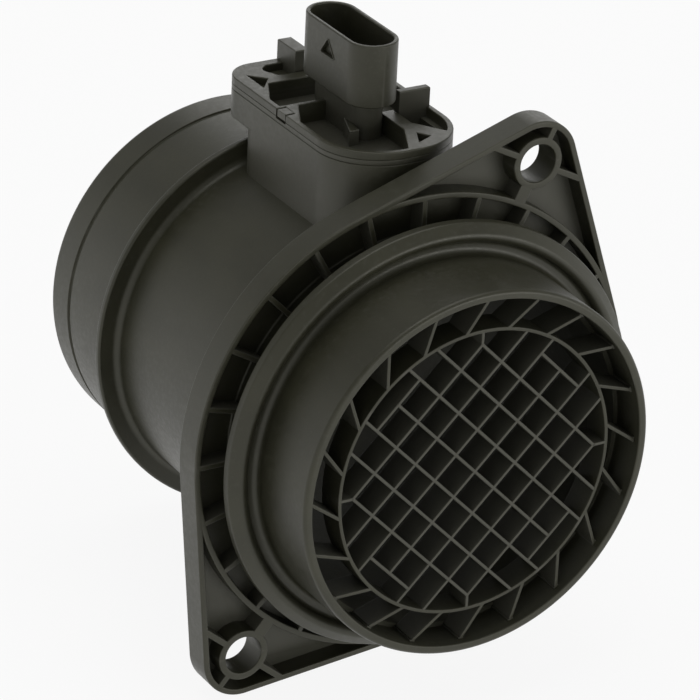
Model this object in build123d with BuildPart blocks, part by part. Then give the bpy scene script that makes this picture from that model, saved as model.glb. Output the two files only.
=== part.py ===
from build123d import *
from math import atan2, cos, degrees, radians, sin, sqrt
import os

# Mass airflow sensor: a duct moulding with a plug-in sensor module.
# Frame: origin on the duct axis in the mounting face of the flange.
# +Y is the direction of flow, +Z points to the connector. Millimetres.

os.makedirs("parts", exist_ok=True)

# ---------------------------------------------------------------- duct
spigot_r = 36.0           # hose spigots at both ends
spigot_wall = 3.5
body_wall = 2.9           # tube between the flange and the shoulder
mouth_wall = 1.75         # thin wall round the inlet mouth, which takes the guard grid
inlet_reach = 23.2        # mounting face to the inlet lip
outlet_reach = 76.8       # mounting face to the outlet end
lip_round = 0.8           # outer edge of the inlet lip
grid_ledge = 0.9          # step that the guard grid rests on
mouth_taper = 9.0         # cone behind the ledge, down to the bore
outlet_round = 1.2

# collar ahead of the flange, heights above the spigot and setbacks from the mounting face
collar_foot = 11.6        # concave foot
collar_cone_h = 2.8
collar_cone = 8.6         # change of slope
collar_h = 6.2
collar_edge = 6.4         # edge of the lip
collar_t = 1.8            # thickness of the lip at its edge
groove_h = 0.6            # bottom of the channel behind the lip

# flange
flange_t = 6.0
flange_floor = 2.0
channel_w = 7.6           # ribbed channel round the duct
rim_t = 1.2               # rim and ring walls
channel_ribs = 24
channel_rib_t = 1.0
ear_angles = (63.6, 230.2)
ear_reach = 7.6           # bolt holes beyond the round part of the flange
ear_r = 8.2
bolt_r = 3.7
boss_wall = 1.4
ear_rib_t = 1.2
ear_neck_w = 2.6          # web from the boss to the ring
flange_root = 1.5         # fillet behind the flange

# shoulder and outlet spigot
shoulder_y = 49.6
shoulder_h = 3.5          # above the spigot
shoulder_t = 1.6
shoulder_round = 0.5
shoulder_root = 1.4
bead_setback = 8.3        # shallow groove round the outlet spigot
bead_w = 1.2
bead_d = 0.35

# ---------------------------------------------------------------- tower
tower_x = 2.2             # centre line of the tower, off the duct axis
tower_w = 27.0
tower_gap = 2.4           # flange to the tower's nose
tower_l = 41.6
tower_nose_r = 12.0
tower_corner = 6.0
tower_rise = 4.6          # tube to the floor of the socket
socket_d = 8.2
tower_wall = 1.6
tower_ledge = 5.6         # depth of the ledge that runs back under the cover plate
slot_clear = 0.4          # round the blade, in the slot of the tower's floor

# ---------------------------------------------------------------- guard grid
grid_setback = 1.4        # lip to the front of the grid
grid_depth = 6.0
grid_pitch = 5.96
grid_bar = 0.6
grid_ring_t = 0.7
grid_turn = 45.0          # lattice against the horizontal
vanes = 20
vane_reach = 5.95         # ring to the wall of the mouth
vane_t = 0.65
vane_root = 7.4           # polar angle of the first vane at the ring
vane_sweep = -8.75        # how far its tip lies on round the axis
vane_foot = 1.6           # foot at the tip, along the wall
vane_foot_t = 0.6
grid_clear = 0.05         # round the feet, in the mouth

# ---------------------------------------------------------------- module
module_gap = 0.1          # plug to the tower's inside
plug_clear = 0.3          # plug to the tower's floor
plug_skin = 0.8           # wall of the plug outside the recess
plate_t = 2.5
plate_overhang = 6.9      # beyond the back of the tower
recess_d = 3.8
recess_rim = 1.2          # rim round the upper part of the recess
recess_skin = 0.6         # plate left over the tower's edge
cross_setback = 3.4       # cross wall, from the back of the tower
cross_wall = 2.9
back_rim = 1.4
pocket_d = 1.5            # shallow pockets behind the cross wall
gusset_w = 4.6            # slanted corners of the recess
gusset_l = 9.2
web_t = 1.2               # short wall on the left of the shroud
web_setback = 15.0        # from the back of the tower
side_web_w = 3.0          # wall on the right of the shroud
side_web_gap = 1.9        # centre line of the shroud to its near side, less the half width
side_web_l = 10.0
notch_w = 3.6             # notch in the left rim
notch_d = 1.9             # into the rim
notch_setback = 16.4

lug_h = 3.9
back_lug_w = 2.9
back_lug_l = 6.9
side_lug_w = 6.5
side_lug_t = 1.6
side_lug_setback = 25.2   # from the back of the tower

shroud_w = 9.9
shroud_h = 15.7           # above the plate
shroud_gap = 2.2          # cross wall to the back of the shroud
shroud_room = 17.4        # length of the tower less the length of the shroud
shroud_wall = 0.9
shroud_d = 11.0           # depth of the socket
shroud_foot = 3.5         # plate to the foot of the shroud, over its stem
stem_w = 6.4
stem_in = 2.8             # ends of the shroud to the ends of the stem
foot_w = 2.6              # short wall left of the stem's front
foot_l = 6.0
foot_in = 1.8             # front of the shroud to the front of this wall
foot_lap = 0.2            # into the stem
latch_w = 4.6
latch_out = 1.5
latch_drop = 5.6          # rim to the foot of the latch nose
latch_h = 3.4

seal_groove = 1.5         # depth of the groove round the plug
seal_h = 2.2
seal_rise = 1.9           # foot of the plug to the groove
seal_clear = 0.05
seal_edge = 0.4

# ---------------------------------------------------------------- blade
blade_x = 0.0             # centre plane of the blade
blade_t = 10.0
blade_front = 8.4         # setback from the tower's nose
blade_back = 4.8          # setback from the tower's back
blade_tip_z = -8.0
blade_tail = 2.5          # rounding of the trailing edges
blade_tip_round = 1.0

nose_wall = 5.5           # leading edge to the circuit pocket
tail_wall = 3.5
pocket_top = 2.3          # foot of the plug to the pocket
pocket_floor_x = -1.5
pocket_round = 1.0
cover_t = 1.2
cover_ledge = 0.8         # ledges round pocket and channel that carry the covers
cover_clear = 0.1
cover_round = 1.8
cover_chamfer = 0.2

tip_wall = 1.8            # under the straight channel
inlet_h = 4.4
outlet_h = 2.4
channel_gap = 3.2         # between straight and return channel
loop_h = 4.0
riser_w = 4.0
riser_wall = 1.5          # beyond the pocket's end
loop_wall = 0.5
channel_depth = 7.2
channel_round = 0.9
pocket_wall = 2.6         # return channel to the circuit pocket
window_w = 4.2            # outlet of the return channel, through its cover
window_h = 3.0

plate_core_t = 1.2        # base plate
board_t = 0.8
board_setback = 5.2       # foot of the pocket to the board
board_edge = 0.3          # pocket wall to the board
board_round = 0.6
chip_holder_w = 6.0
chip_holder_t = 1.3
chip_holder_in = 3.4      # into the return channel
chip_w = 3.0
chip_l = 2.4
chip_t = 0.4
holder_clear = 0.1

control_w = 7.0
control_t = 1.4
part_chamfer = 0.15
capacitors = 3
capacitor_l = 3.2
capacitor_w = 1.6
capacitor_t = 1.6
capacitor_pitch = 4.0
resistors = 5
resistor_l = 2.0
resistor_w = 1.2
resistor_t = 0.5
resistor_pitch = 2.8
resistor_gap = 3.1        # below the control chip

thermistor_gap = 2.0      # beside the chip holder
thermistor_r = 1.1
thermistor_l = 3.0
thermistor_round = 0.5
lead_r = 0.28
lead_pitch = 1.2

# ---------------------------------------------------------------- terminals
terminals = 5
terminal_margin = 8.0     # length of the socket less the span of the contacts
terminal_w = 1.5
terminal_t = 0.8
terminal_reach = 7.2      # above the floor of the socket
terminal_drop = 2.8       # top of the circuit pocket to the foot
terminal_bend = 0.3
terminal_clear = 0.02

# ---------------------------------------------------------------- derived sizes and places
mouth_r = spigot_r - mouth_wall
bore_r = spigot_r - spigot_wall
body_r = bore_r + body_wall
collar_cone_r = spigot_r + collar_cone_h
collar_r = spigot_r + collar_h
groove_r = spigot_r + groove_h
ring_r = groove_r + channel_w + rim_t
ear_pitch_r = ring_r + ear_reach
boss_r = bolt_r + boss_wall
shoulder_r = spigot_r + shoulder_h
bead_y = outlet_reach - bead_setback
channel_floor_y = flange_t - flange_floor

lip_y = -inlet_reach
grid_front_y = lip_y + grid_setback
grid_seat_y = grid_front_y + grid_depth
grid_ring_r = mouth_r - vane_reach

tower_front_y = flange_t + tower_gap
tower_nose_y = tower_front_y + tower_w / 2
tower_back_y = tower_front_y + tower_l
tower_floor_z = body_r + tower_rise
tower_top_z = tower_floor_z + socket_d
tower_left_x = tower_x - tower_w / 2
tower_right_x = tower_x + tower_w / 2
ledge_z = tower_top_z - tower_ledge

rim_w = tower_wall + module_gap + plug_skin
plug_low_z = tower_floor_z + plug_clear
plate_top_z = tower_top_z + plate_t
plate_back_y = tower_back_y + plate_overhang
recess_floor_z = plate_top_z - recess_d
cross_y = tower_back_y - cross_setback
web_y = tower_back_y - web_setback
lug_top_z = plate_top_z + lug_h
side_lug_y = tower_back_y - side_lug_setback
shroud_x = tower_x
shroud_l = tower_l - shroud_room
shroud_y = cross_y - shroud_gap - shroud_l / 2
shroud_front_y = shroud_y - shroud_l / 2
shroud_top_z = plate_top_z + shroud_h
shroud_foot_z = plate_top_z + shroud_foot
shroud_floor_z = shroud_top_z - shroud_d
side_web_x = shroud_x + shroud_w / 2 - side_web_gap
latch_z = shroud_top_z - latch_drop
seal_z = plug_low_z + seal_rise

blade_front_y = tower_front_y + blade_front
blade_back_y = tower_back_y - blade_back
blade_side_x = blade_x + blade_t / 2
cover_in_x = blade_side_x - cover_t
channel_floor_x = cover_in_x - channel_depth
inlet_z = blade_tip_z + tip_wall + inlet_h / 2
loop_z = inlet_z + inlet_h / 2 + channel_gap + loop_h / 2
pocket_low = (blade_front_y + nose_wall, loop_z + loop_h / 2 + pocket_wall)
pocket_high = (blade_back_y - tail_wall, plug_low_z - pocket_top)
pocket_mid_y = (pocket_low[0] + pocket_high[0]) / 2
riser_end_y = pocket_high[0] - riser_wall
riser_y = riser_end_y - riser_w / 2
loop_end_y = pocket_low[0] + loop_wall
channel_low = (loop_end_y, inlet_z - inlet_h / 2)
channel_high = (riser_end_y, loop_z + loop_h / 2)

board_low_z = pocket_low[1] + board_setback
board_x = pocket_floor_x + plate_core_t
board_face_x = board_x + board_t
holder_x = board_x + chip_holder_t / 2
lead_x = board_x + board_t / 2
thermistor_y = pocket_mid_y + chip_holder_w / 2 + thermistor_gap
lead_places = [(lead_x, thermistor_y + side * lead_pitch / 2) for side in (-1, 1)]
control_z = (board_low_z + pocket_high[1]) / 2
terminal_pitch = (shroud_l - 2 * shroud_wall - terminal_margin) / (terminals - 1)
terminal_top_z = shroud_floor_z + terminal_reach
terminal_foot_z = pocket_high[1] - terminal_drop


def polar(radius, angle):
    return (radius * cos(radians(angle)), radius * sin(radians(angle)))


ears = [polar(ear_pitch_r, a) for a in ear_angles]


# ---------------------------------------------------------------- flow tube
def flange_outline(inset=0.0):
    """Round flange and its two ears, drawn in by inset."""
    with BuildSketch() as s:
        Circle(ring_r - inset)
        with Locations(*ears):
            Circle(ear_r - inset)
        make_hull()
    return s.sketch


def ear_webs():
    """Webs that cross at each boss: outward, to both sides, and a wider one to the ring."""
    with BuildSketch() as s:
        for angle, centre in zip(ear_angles, ears):
            with Locations(Location((*centre, 0), (0, 0, angle))):
                Rectangle(4 * ear_r, ear_rib_t, align=(Align.MIN, Align.CENTER))
                Rectangle(ear_rib_t, 4 * ear_r)
                Rectangle(ear_pitch_r - ring_r + rim_t, ear_neck_w, align=(Align.MAX, Align.CENTER))
        add(flange_outline(), mode=Mode.INTERSECT)
        Circle(ring_r - rim_t, mode=Mode.SUBTRACT)
    return s.sketch


def flange_walls():
    """Everything of the flange that stands on its floor, up to the mounting face."""
    rim = flange_outline() - flange_outline(rim_t)
    with BuildSketch() as s:
        Circle(ring_r)
        Circle(ring_r - rim_t, mode=Mode.SUBTRACT)
        add(rim)
        add(ear_webs())
        with Locations(*ears):
            Circle(boss_r)
        reach = ring_r - rim_t - groove_r + 1.0
        with PolarLocations(groove_r - 0.5 + reach / 2, channel_ribs):
            Rectangle(reach, channel_rib_t)
    return s.sketch


def d_plan(back_y, inset=0.0):
    """Plan of the tower: straight sides, well-rounded nose, back edge at back_y."""
    half = tower_w / 2 - inset
    nose = tower_nose_r - inset
    tail = tower_corner - inset
    with BuildSketch() as s:
        with BuildLine():
            FilletPolyline(
                (tower_x - half, tower_front_y + inset),
                (tower_x - half, back_y - inset),
                (tower_x + half, back_y - inset),
                (tower_x + half, tower_front_y + inset),
                radius=[nose, tail, tail, nose],
                close=True,
            )
        make_face()
    return s.sketch


def blade_plan(grow=0.0):
    """Section of the blade: round nose upstream, rounded tail."""
    half = blade_t / 2 + grow
    with BuildSketch() as s:
        with BuildLine():
            sides = FilletPolyline(
                (blade_x - half, blade_front_y + blade_t / 2),
                (blade_x - half, blade_back_y + grow),
                (blade_x + half, blade_back_y + grow),
                (blade_x + half, blade_front_y + blade_t / 2),
                radius=blade_tail + grow,
            )
            ThreePointArc(sides @ 1, (blade_x, blade_front_y - grow), sides @ 0)
        make_face()
    return s.sketch


with BuildPart() as flow_tube:
    # outside of the duct, turned about the flow axis
    with BuildSketch(Plane.XY):
        with BuildLine():
            FilletPolyline(
                (0, lip_y),
                (spigot_r, lip_y),
                (spigot_r, -collar_foot),
                (collar_cone_r, -collar_cone),
                (collar_r, -collar_edge),
                (collar_r, -collar_edge + collar_t),
                (groove_r, -collar_edge + collar_t),
                (groove_r, channel_floor_y),
                (ring_r, channel_floor_y),
                (ring_r, flange_t),
                (body_r, flange_t),
                (body_r, shoulder_y),
                (shoulder_r, shoulder_y),
                (shoulder_r, shoulder_y + shoulder_t),
                (spigot_r, shoulder_y + shoulder_t),
                (spigot_r, bead_y),
                (spigot_r - bead_d, bead_y),
                (spigot_r - bead_d, bead_y + bead_w),
                (spigot_r, bead_y + bead_w),
                (spigot_r, outlet_reach),
                (0, outlet_reach),
                radius=[0, lip_round, 2.0, 1.2, 0.3, 0.3, 0.6, 0, 0, 0, flange_root, shoulder_root,
                        shoulder_round, shoulder_round, 0.4, 0, 0, 0, 0, outlet_round, 0],
                close=True,
            )
        make_face()
    revolve(axis=Axis.Y)

    # flange: floor plate, then its walls
    with BuildSketch(Plane.XZ.offset(-channel_floor_y)):
        add(flange_outline())
    extrude(amount=-flange_floor)
    with BuildSketch(Plane.XZ):
        add(flange_walls())
    extrude(amount=-flange_t)

    # tower and the ledge behind it
    with BuildSketch(Plane.XY):
        add(d_plan(tower_back_y))
    extrude(amount=tower_top_z)
    with BuildSketch(Plane.XY.offset(ledge_z)):
        add(d_plan(plate_back_y))
    extrude(amount=tower_ledge)
    with BuildSketch(Plane.XY.offset(tower_floor_z)):
        add(d_plan(tower_back_y, tower_wall))
    extrude(amount=tower_top_z - tower_floor_z, mode=Mode.SUBTRACT)
    with BuildSketch(Plane.XY):
        add(blade_plan(slot_clear))
    extrude(amount=tower_floor_z, mode=Mode.SUBTRACT)

    # bolt holes
    with BuildSketch(Plane.XZ):
        with Locations(*ears):
            Circle(bolt_r)
    extrude(amount=-flange_t, mode=Mode.SUBTRACT)

    # mouth, ledge for the guard grid, cone and bore
    with BuildSketch(Plane.XY):
        with BuildLine():
            Polyline(
                (0, lip_y - 1),
                (mouth_r, lip_y - 1),
                (mouth_r, grid_seat_y),
                (mouth_r - grid_ledge, grid_seat_y),
                (bore_r, grid_seat_y + mouth_taper),
                (bore_r, outlet_reach + 1),
                (0, outlet_reach + 1),
                close=True,
            )
        make_face()
    revolve(axis=Axis.Y, mode=Mode.SUBTRACT)

flow_tube.part.label = "flow_tube"
export_step(flow_tube.part, "parts/flow_tube.step")


# ---------------------------------------------------------------- guard grid
def lattice():
    """Square lattice: lines through the ring, three nodes deep each way, open at the corners."""
    reach = grid_ring_r - grid_ring_t / 2
    with BuildSketch() as s:
        for k in range(-4, 5):
            offset_k = k * grid_pitch
            if abs(k) == 4:
                length = 2 * grid_pitch + grid_bar
            elif abs(k) == 3:
                length = 6 * grid_pitch + grid_bar
            elif k == 0:
                length = 8 * grid_pitch + grid_bar
            else:
                length = 2 * sqrt(reach ** 2 - offset_k ** 2)
            with Locations((0, offset_k)):
                Rectangle(length, grid_bar)
            with Locations((offset_k, 0)):
                Rectangle(grid_bar, length)
        corner = 3 * grid_pitch * sqrt(2)
        with PolarLocations((corner + reach) / 2, 4, start_angle=45):
            Rectangle(reach - corner + grid_bar, grid_bar)
    return s.sketch


def vane():
    """One slanted vane from the ring to its foot on the wall of the mouth."""
    tip_r = mouth_r - grid_clear
    root = Vector(*polar(grid_ring_r - grid_ring_t / 2, vane_root))
    tip = Vector(*polar(tip_r, vane_root + vane_sweep))
    run = tip - root
    slant = degrees(atan2(run.Y, run.X))
    with BuildSketch() as s:
        with Locations(Location((root + tip) / 2, (0, 0, slant))):
            Rectangle(run.length + vane_t, vane_t)
        with Locations(Location(tip, (0, 0, vane_root + vane_sweep))):
            Rectangle(2 * vane_foot_t, vane_foot)
        Circle(tip_r, mode=Mode.INTERSECT)
        Circle(grid_ring_r - grid_ring_t / 2, mode=Mode.SUBTRACT)
    return s.sketch


with BuildPart() as inlet_grid:
    with BuildSketch(Plane.XZ.offset(-grid_front_y)):
        add(lattice(), rotation=grid_turn)
        Circle(grid_ring_r)
        Circle(grid_ring_r - grid_ring_t, mode=Mode.SUBTRACT)
        add(lattice(), rotation=grid_turn)
        with PolarLocations(0, vanes):
            add(vane())
    extrude(amount=-grid_depth)

inlet_grid.part.label = "inlet_grid"
export_step(inlet_grid.part, "parts/inlet_grid.step")


# ---------------------------------------------------------------- sensor module
def gusset(x, y, toward):
    """Slanted corner of the recess: along the rim from y, and across the plate toward the middle."""
    with BuildSketch() as s:
        with BuildLine():
            Polyline((x, y), (x + toward * gusset_w, y), (x, y - gusset_l), close=True)
        make_face()
    return s.sketch


def nose_web():
    """Solid part right of the front recess, between it and the side pocket."""
    with BuildSketch() as s:
        with BuildLine():
            Polyline(
                (side_web_x, tower_nose_y - tower_w / 6),
                (side_web_x + side_web_w, tower_nose_y - tower_w / 10),
                (side_web_x + 2 * side_web_w, tower_nose_y - tower_w / 4),
                (tower_right_x, tower_front_y),
                (tower_x - recess_rim, tower_front_y),
                close=True,
            )
        make_face()
    return s.sketch


def recess_plan(inset):
    """Recess of the cover plate, ahead of the cross wall, with the webs left standing."""
    with BuildSketch() as s:
        add(d_plan(tower_back_y, inset))
        with Locations((tower_x, cross_y)):
            Rectangle(2 * tower_w, tower_w, align=(Align.CENTER, Align.MIN), mode=Mode.SUBTRACT)
        with Locations((tower_left_x, web_y)):
            Rectangle(tower_w / 2, web_t, align=(Align.MIN, Align.MIN), mode=Mode.SUBTRACT)
        with Locations((side_web_x, shroud_y - shroud_l / 4)):
            Rectangle(side_web_w, side_web_l, align=(Align.MIN, Align.MAX), mode=Mode.SUBTRACT)
        with Locations((shroud_x - stem_w / 2 + foot_lap, shroud_front_y + foot_in)):
            Rectangle(foot_w, foot_l, align=(Align.MAX, Align.MIN), mode=Mode.SUBTRACT)
        add(gusset(tower_left_x, cross_y, 1), mode=Mode.SUBTRACT)
        add(gusset(tower_right_x, cross_y, -1), mode=Mode.SUBTRACT)
        add(gusset(tower_left_x, web_y, 1), mode=Mode.SUBTRACT)
        add(nose_web(), mode=Mode.SUBTRACT)
    return s.sketch


def corner_pocket(side):
    """Small three-cornered pocket in a back corner of the plate."""
    edge = tower_x + side * (tower_w / 2 - 2 * back_rim)
    with BuildSketch() as s:
        with BuildLine():
            Polyline(
                (edge, cross_y - back_rim),
                (edge - side * 2 * back_rim, cross_y + cross_wall - back_rim / 2),
                (edge, cross_y + 2 * cross_wall - back_rim / 2),
                close=True,
            )
        make_face()
    return s.sketch


def back_pocket_plan():
    """Shallow pockets behind the cross wall: a wide one between its ends, two in the corners."""
    low = cross_y + cross_wall
    high = plate_back_y - 2 * back_rim
    with BuildSketch() as s:
        with BuildLine():
            Polyline(
                (tower_x - tower_w / 5, low),
                (tower_x + tower_w / 5, low),
                (tower_x + tower_w / 4, high),
                (tower_x - tower_w / 4, high),
                close=True,
            )
        make_face()
        add(corner_pocket(-1))
        add(corner_pocket(1))
    return s.sketch


def nose_pocket():
    """Small three-cornered pocket in the solid part by the nose."""
    with BuildSketch() as s:
        with BuildLine():
            Polyline(
                (side_web_x + side_web_w / 2, tower_nose_y - tower_w / 4),
                (side_web_x + side_web_w, tower_nose_y - tower_w / 3),
                (side_web_x - back_rim / 4, tower_front_y + 2 * back_rim),
                close=True,
            )
        make_face()
    return s.sketch


def side_lug_plan():
    """Tab beside the shroud, from the side web across the side pocket to the rim."""
    with BuildSketch() as s:
        with Locations((tower_right_x - recess_rim / 2, side_lug_y)):
            Rectangle(side_lug_w, side_lug_t, align=(Align.MAX, Align.MIN))
    return s.sketch


def plug_plan(inset=0.0):
    return d_plan(tower_back_y, tower_wall + module_gap + inset)


def channel_plan():
    """Measuring channel seen from its cover: straight run, riser, and the run back over the chip."""
    run = riser_end_y - loop_end_y
    with BuildSketch() as s:
        with Locations((loop_end_y, inlet_z)):
            Rectangle(run, inlet_h, align=(Align.MIN, Align.CENTER))
        with Locations((riser_y, inlet_z)):
            Rectangle(riser_w, loop_z - inlet_z, align=(Align.CENTER, Align.MIN))
        with Locations((riser_end_y, loop_z)):
            Rectangle(run, loop_h, align=(Align.MAX, Align.CENTER))
        fillet(s.vertices(), radius=channel_round)
    return s.sketch


def rounded_box(low, high, radius):
    """Rectangle from its two corners, with rounded corners."""
    with BuildSketch() as s:
        with Locations(((low[0] + high[0]) / 2, (low[1] + high[1]) / 2)):
            RectangleRounded(high[0] - low[0], high[1] - low[1], radius)
    return s.sketch


def cover_plan(low, high, shrink=0.0):
    """Seat of a cover: its opening and the ledge round it."""
    edge = cover_ledge - shrink
    return rounded_box((low[0] - edge, low[1] - edge), (high[0] + edge, high[1] + edge), cover_round - shrink)


def terminal_ys():
    middle = (terminals - 1) / 2
    return [shroud_y + (k - middle) * terminal_pitch for k in range(terminals)]


with BuildPart() as sensor_module:
    # plug and cover plate
    with BuildSketch(Plane.XY.offset(plug_low_z)):
        add(plug_plan())
    extrude(amount=tower_top_z - plug_low_z)
    with BuildSketch(Plane.XY.offset(tower_top_z)):
        add(d_plan(plate_back_y))
    extrude(amount=plate_t)
    with BuildSketch(Plane.XY.offset(seal_z)):
        add(plug_plan())
        add(plug_plan(seal_groove), mode=Mode.SUBTRACT)
    extrude(amount=seal_h, mode=Mode.SUBTRACT)

    # recess of the cover plate: wide above the tower's edge, drawn in below it
    with BuildSketch(Plane.XY.offset(tower_top_z + recess_skin)):
        add(recess_plan(recess_rim))
        with Locations((tower_left_x, tower_back_y - notch_setback)):
            Rectangle(2 * notch_d, notch_w)
    extrude(amount=plate_t - recess_skin, mode=Mode.SUBTRACT)
    with BuildSketch(Plane.XY.offset(recess_floor_z)):
        add(recess_plan(rim_w))
    extrude(amount=recess_d, mode=Mode.SUBTRACT)
    with BuildSketch(Plane.XY.offset(plate_top_z - pocket_d)):
        add(back_pocket_plan())
        add(nose_pocket())
    extrude(amount=pocket_d, mode=Mode.SUBTRACT)

    # tabs: one in the side pocket and on its rim, one across the back pocket
    with BuildSketch(Plane.XY.offset(recess_floor_z)):
        add(side_lug_plan())
        add(plug_plan(), mode=Mode.INTERSECT)
    extrude(amount=recess_d)
    with BuildSketch(Plane.XY.offset(tower_top_z)):
        add(side_lug_plan())
    extrude(amount=lug_top_z - tower_top_z)
    with BuildSketch(Plane.XY.offset(tower_top_z + recess_skin)):
        with Locations((tower_x, plate_back_y)):
            Rectangle(back_lug_w, back_lug_l, align=(Align.CENTER, Align.MAX))
    extrude(amount=lug_top_z - tower_top_z - recess_skin)

    # connector: stem, shroud, its cavity and latch nose
    with BuildSketch(Plane.XY.offset(recess_floor_z)):
        with Locations((shroud_x, shroud_y)):
            SlotOverall(shroud_l - 2 * stem_in, stem_w, rotation=90)
    extrude(amount=shroud_foot_z - recess_floor_z)
    with BuildSketch(Plane.XY.offset(shroud_foot_z)):
        with Locations((shroud_x, shroud_y)):
            SlotOverall(shroud_l, shroud_w, rotation=90)
    extrude(amount=shroud_top_z - shroud_foot_z)
    with BuildSketch(Plane.XY.offset(shroud_floor_z)):
        with Locations((shroud_x, shroud_y)):
            SlotOverall(shroud_l - 2 * shroud_wall, shroud_w - 2 * shroud_wall, rotation=90)
    extrude(amount=shroud_top_z - shroud_floor_z, mode=Mode.SUBTRACT)
    with BuildSketch(Plane.YZ.offset(shroud_x - shroud_w / 2)):
        with BuildLine():
            Polyline(
                (shroud_y - latch_w / 2, latch_z),
                (shroud_y + latch_w / 2, latch_z),
                (shroud_y, latch_z + latch_h),
                close=True,
            )
        make_face()
    extrude(amount=-latch_out, taper=20)

    # blade
    with BuildSketch(Plane.XY.offset(blade_tip_z)):
        add(blade_plan())
    extrude(amount=plug_low_z - blade_tip_z)
    tip_edges = sensor_module.faces().sort_by(Axis.Z)[0].edges()
    fillet(tip_edges, radius=blade_tip_round)

    # circuit pocket, with the seat of its cover
    with BuildSketch(Plane.YZ.offset(pocket_floor_x)):
        add(rounded_box(pocket_low, pocket_high, pocket_round))
    extrude(amount=cover_in_x - pocket_floor_x, mode=Mode.SUBTRACT)
    with BuildSketch(Plane.YZ.offset(cover_in_x)):
        add(cover_plan(pocket_low, pocket_high))
        add(cover_plan(channel_low, channel_high))
    extrude(amount=cover_t, mode=Mode.SUBTRACT)

    # measuring channel, its inlet in the nose and outlet in the tail
    with BuildSketch(Plane.YZ.offset(channel_floor_x)):
        add(channel_plan())
    extrude(amount=cover_in_x - channel_floor_x, mode=Mode.SUBTRACT)
    with BuildSketch(Plane.YZ.offset(channel_floor_x)):
        with Locations((riser_y, inlet_z)):
            Rectangle(riser_y - blade_front_y + 1, inlet_h, align=(Align.MAX, Align.CENTER))
            Rectangle(blade_back_y - riser_y + 1, outlet_h, align=(Align.MIN, Align.CENTER))
    extrude(amount=cover_in_x - channel_floor_x, mode=Mode.SUBTRACT)

    # ways through for the chip holder, the thermistor's leads and the terminals
    with BuildSketch(Plane.XY.offset(loop_z)):
        with Locations((holder_x, pocket_mid_y)):
            Rectangle(chip_holder_t + 2 * holder_clear, chip_holder_w + 2 * holder_clear)
        with Locations(*lead_places):
            Circle(lead_r + terminal_clear)
    extrude(amount=board_low_z - loop_z, mode=Mode.SUBTRACT)
    with BuildSketch(Plane.XY.offset(terminal_foot_z)):
        with Locations(*[(shroud_x, y) for y in terminal_ys()]):
            Rectangle(terminal_t + 2 * terminal_clear, terminal_w + 2 * terminal_clear)
    extrude(amount=shroud_floor_z - terminal_foot_z, mode=Mode.SUBTRACT)

sensor_module.part.label = "sensor_module"
export_step(sensor_module.part, "parts/sensor_module.step")


with BuildPart() as module_seal:
    with BuildSketch(Plane.XY.offset(seal_z + seal_clear)):
        add(d_plan(tower_back_y, tower_wall + seal_clear))
        add(plug_plan(seal_groove - seal_clear), mode=Mode.SUBTRACT)
    extrude(amount=seal_h - 2 * seal_clear)
    rims = module_seal.faces().filter_by(Axis.Z).edges()
    chamfer(rims, length=seal_edge)

module_seal.part.label = "module_seal"
export_step(module_seal.part, "parts/module_seal.step")


# ---------------------------------------------------------------- covers
with BuildPart() as electronics_cover:
    with BuildSketch(Plane.YZ.offset(cover_in_x)):
        add(cover_plan(pocket_low, pocket_high, cover_clear))
    extrude(amount=cover_t)
    outer = electronics_cover.faces().sort_by(Axis.X)[-1]
    chamfer(outer.edges(), length=cover_chamfer)

electronics_cover.part.label = "electronics_cover"
export_step(electronics_cover.part, "parts/electronics_cover.step")


with BuildPart() as bypass_cover:
    with BuildSketch(Plane.YZ.offset(cover_in_x)):
        add(cover_plan(channel_low, channel_high, cover_clear))
        with Locations((loop_end_y, loop_z)):
            Rectangle(window_w, window_h, align=(Align.MIN, Align.CENTER), mode=Mode.SUBTRACT)
    extrude(amount=cover_t)
    outer = bypass_cover.faces().sort_by(Axis.X)[-1]
    chamfer(outer.outer_wire().edges(), length=cover_chamfer)

bypass_cover.part.label = "bypass_cover"
export_step(bypass_cover.part, "parts/bypass_cover.step")


# ---------------------------------------------------------------- circuit
with BuildPart() as base_plate:
    with BuildSketch(Plane.YZ.offset(pocket_floor_x)):
        add(rounded_box(
            (pocket_low[0] + board_edge, pocket_low[1] + board_edge),
            (pocket_high[0] - board_edge, pocket_high[1] - board_edge),
            pocket_round - board_edge,
        ))
    extrude(amount=plate_core_t)

base_plate.part.label = "base_plate"
export_step(base_plate.part, "parts/base_plate.step")


with BuildPart() as circuit_board:
    with BuildSketch(Plane.YZ.offset(board_x)):
        add(rounded_box(
            (pocket_low[0] + board_edge, board_low_z),
            (pocket_high[0] - board_edge, pocket_high[1] - board_edge),
            board_round,
        ))
    extrude(amount=board_t)

circuit_board.part.label = "circuit_board"
export_step(circuit_board.part, "parts/circuit_board.step")


with BuildPart() as control_chip:
    with BuildSketch(Plane.YZ.offset(board_face_x)):
        with Locations((pocket_mid_y, control_z)):
            Rectangle(control_w, control_w)
    extrude(amount=control_t)
    chamfer(control_chip.faces().sort_by(Axis.X)[-1].edges(), length=part_chamfer)

control_chip.part.label = "control_chip"
export_step(control_chip.part, "parts/control_chip.step")


with BuildPart() as board_capacitors:
    with BuildSketch(Plane.YZ.offset(board_face_x)):
        with Locations(((pocket_low[0] + pocket_mid_y - control_w / 2) / 2, control_z)):
            with GridLocations(0, capacitor_pitch, 1, capacitors):
                Rectangle(capacitor_l, capacitor_w)
    extrude(amount=capacitor_t)
    chamfer(board_capacitors.faces().group_by(Axis.X)[-1].edges(), length=part_chamfer)

board_capacitors.part.label = "board_capacitors"
export_step(board_capacitors.part, "parts/board_capacitors.step")


with BuildPart() as board_resistors:
    with BuildSketch(Plane.YZ.offset(board_face_x)):
        with Locations((pocket_mid_y, control_z - control_w / 2 - resistor_gap - resistor_l / 2)):
            with GridLocations(resistor_pitch, 0, resistors, 1):
                Rectangle(resistor_w, resistor_l)
    extrude(amount=resistor_t)

board_resistors.part.label = "board_resistors"
export_step(board_resistors.part, "parts/board_resistors.step")


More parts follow.
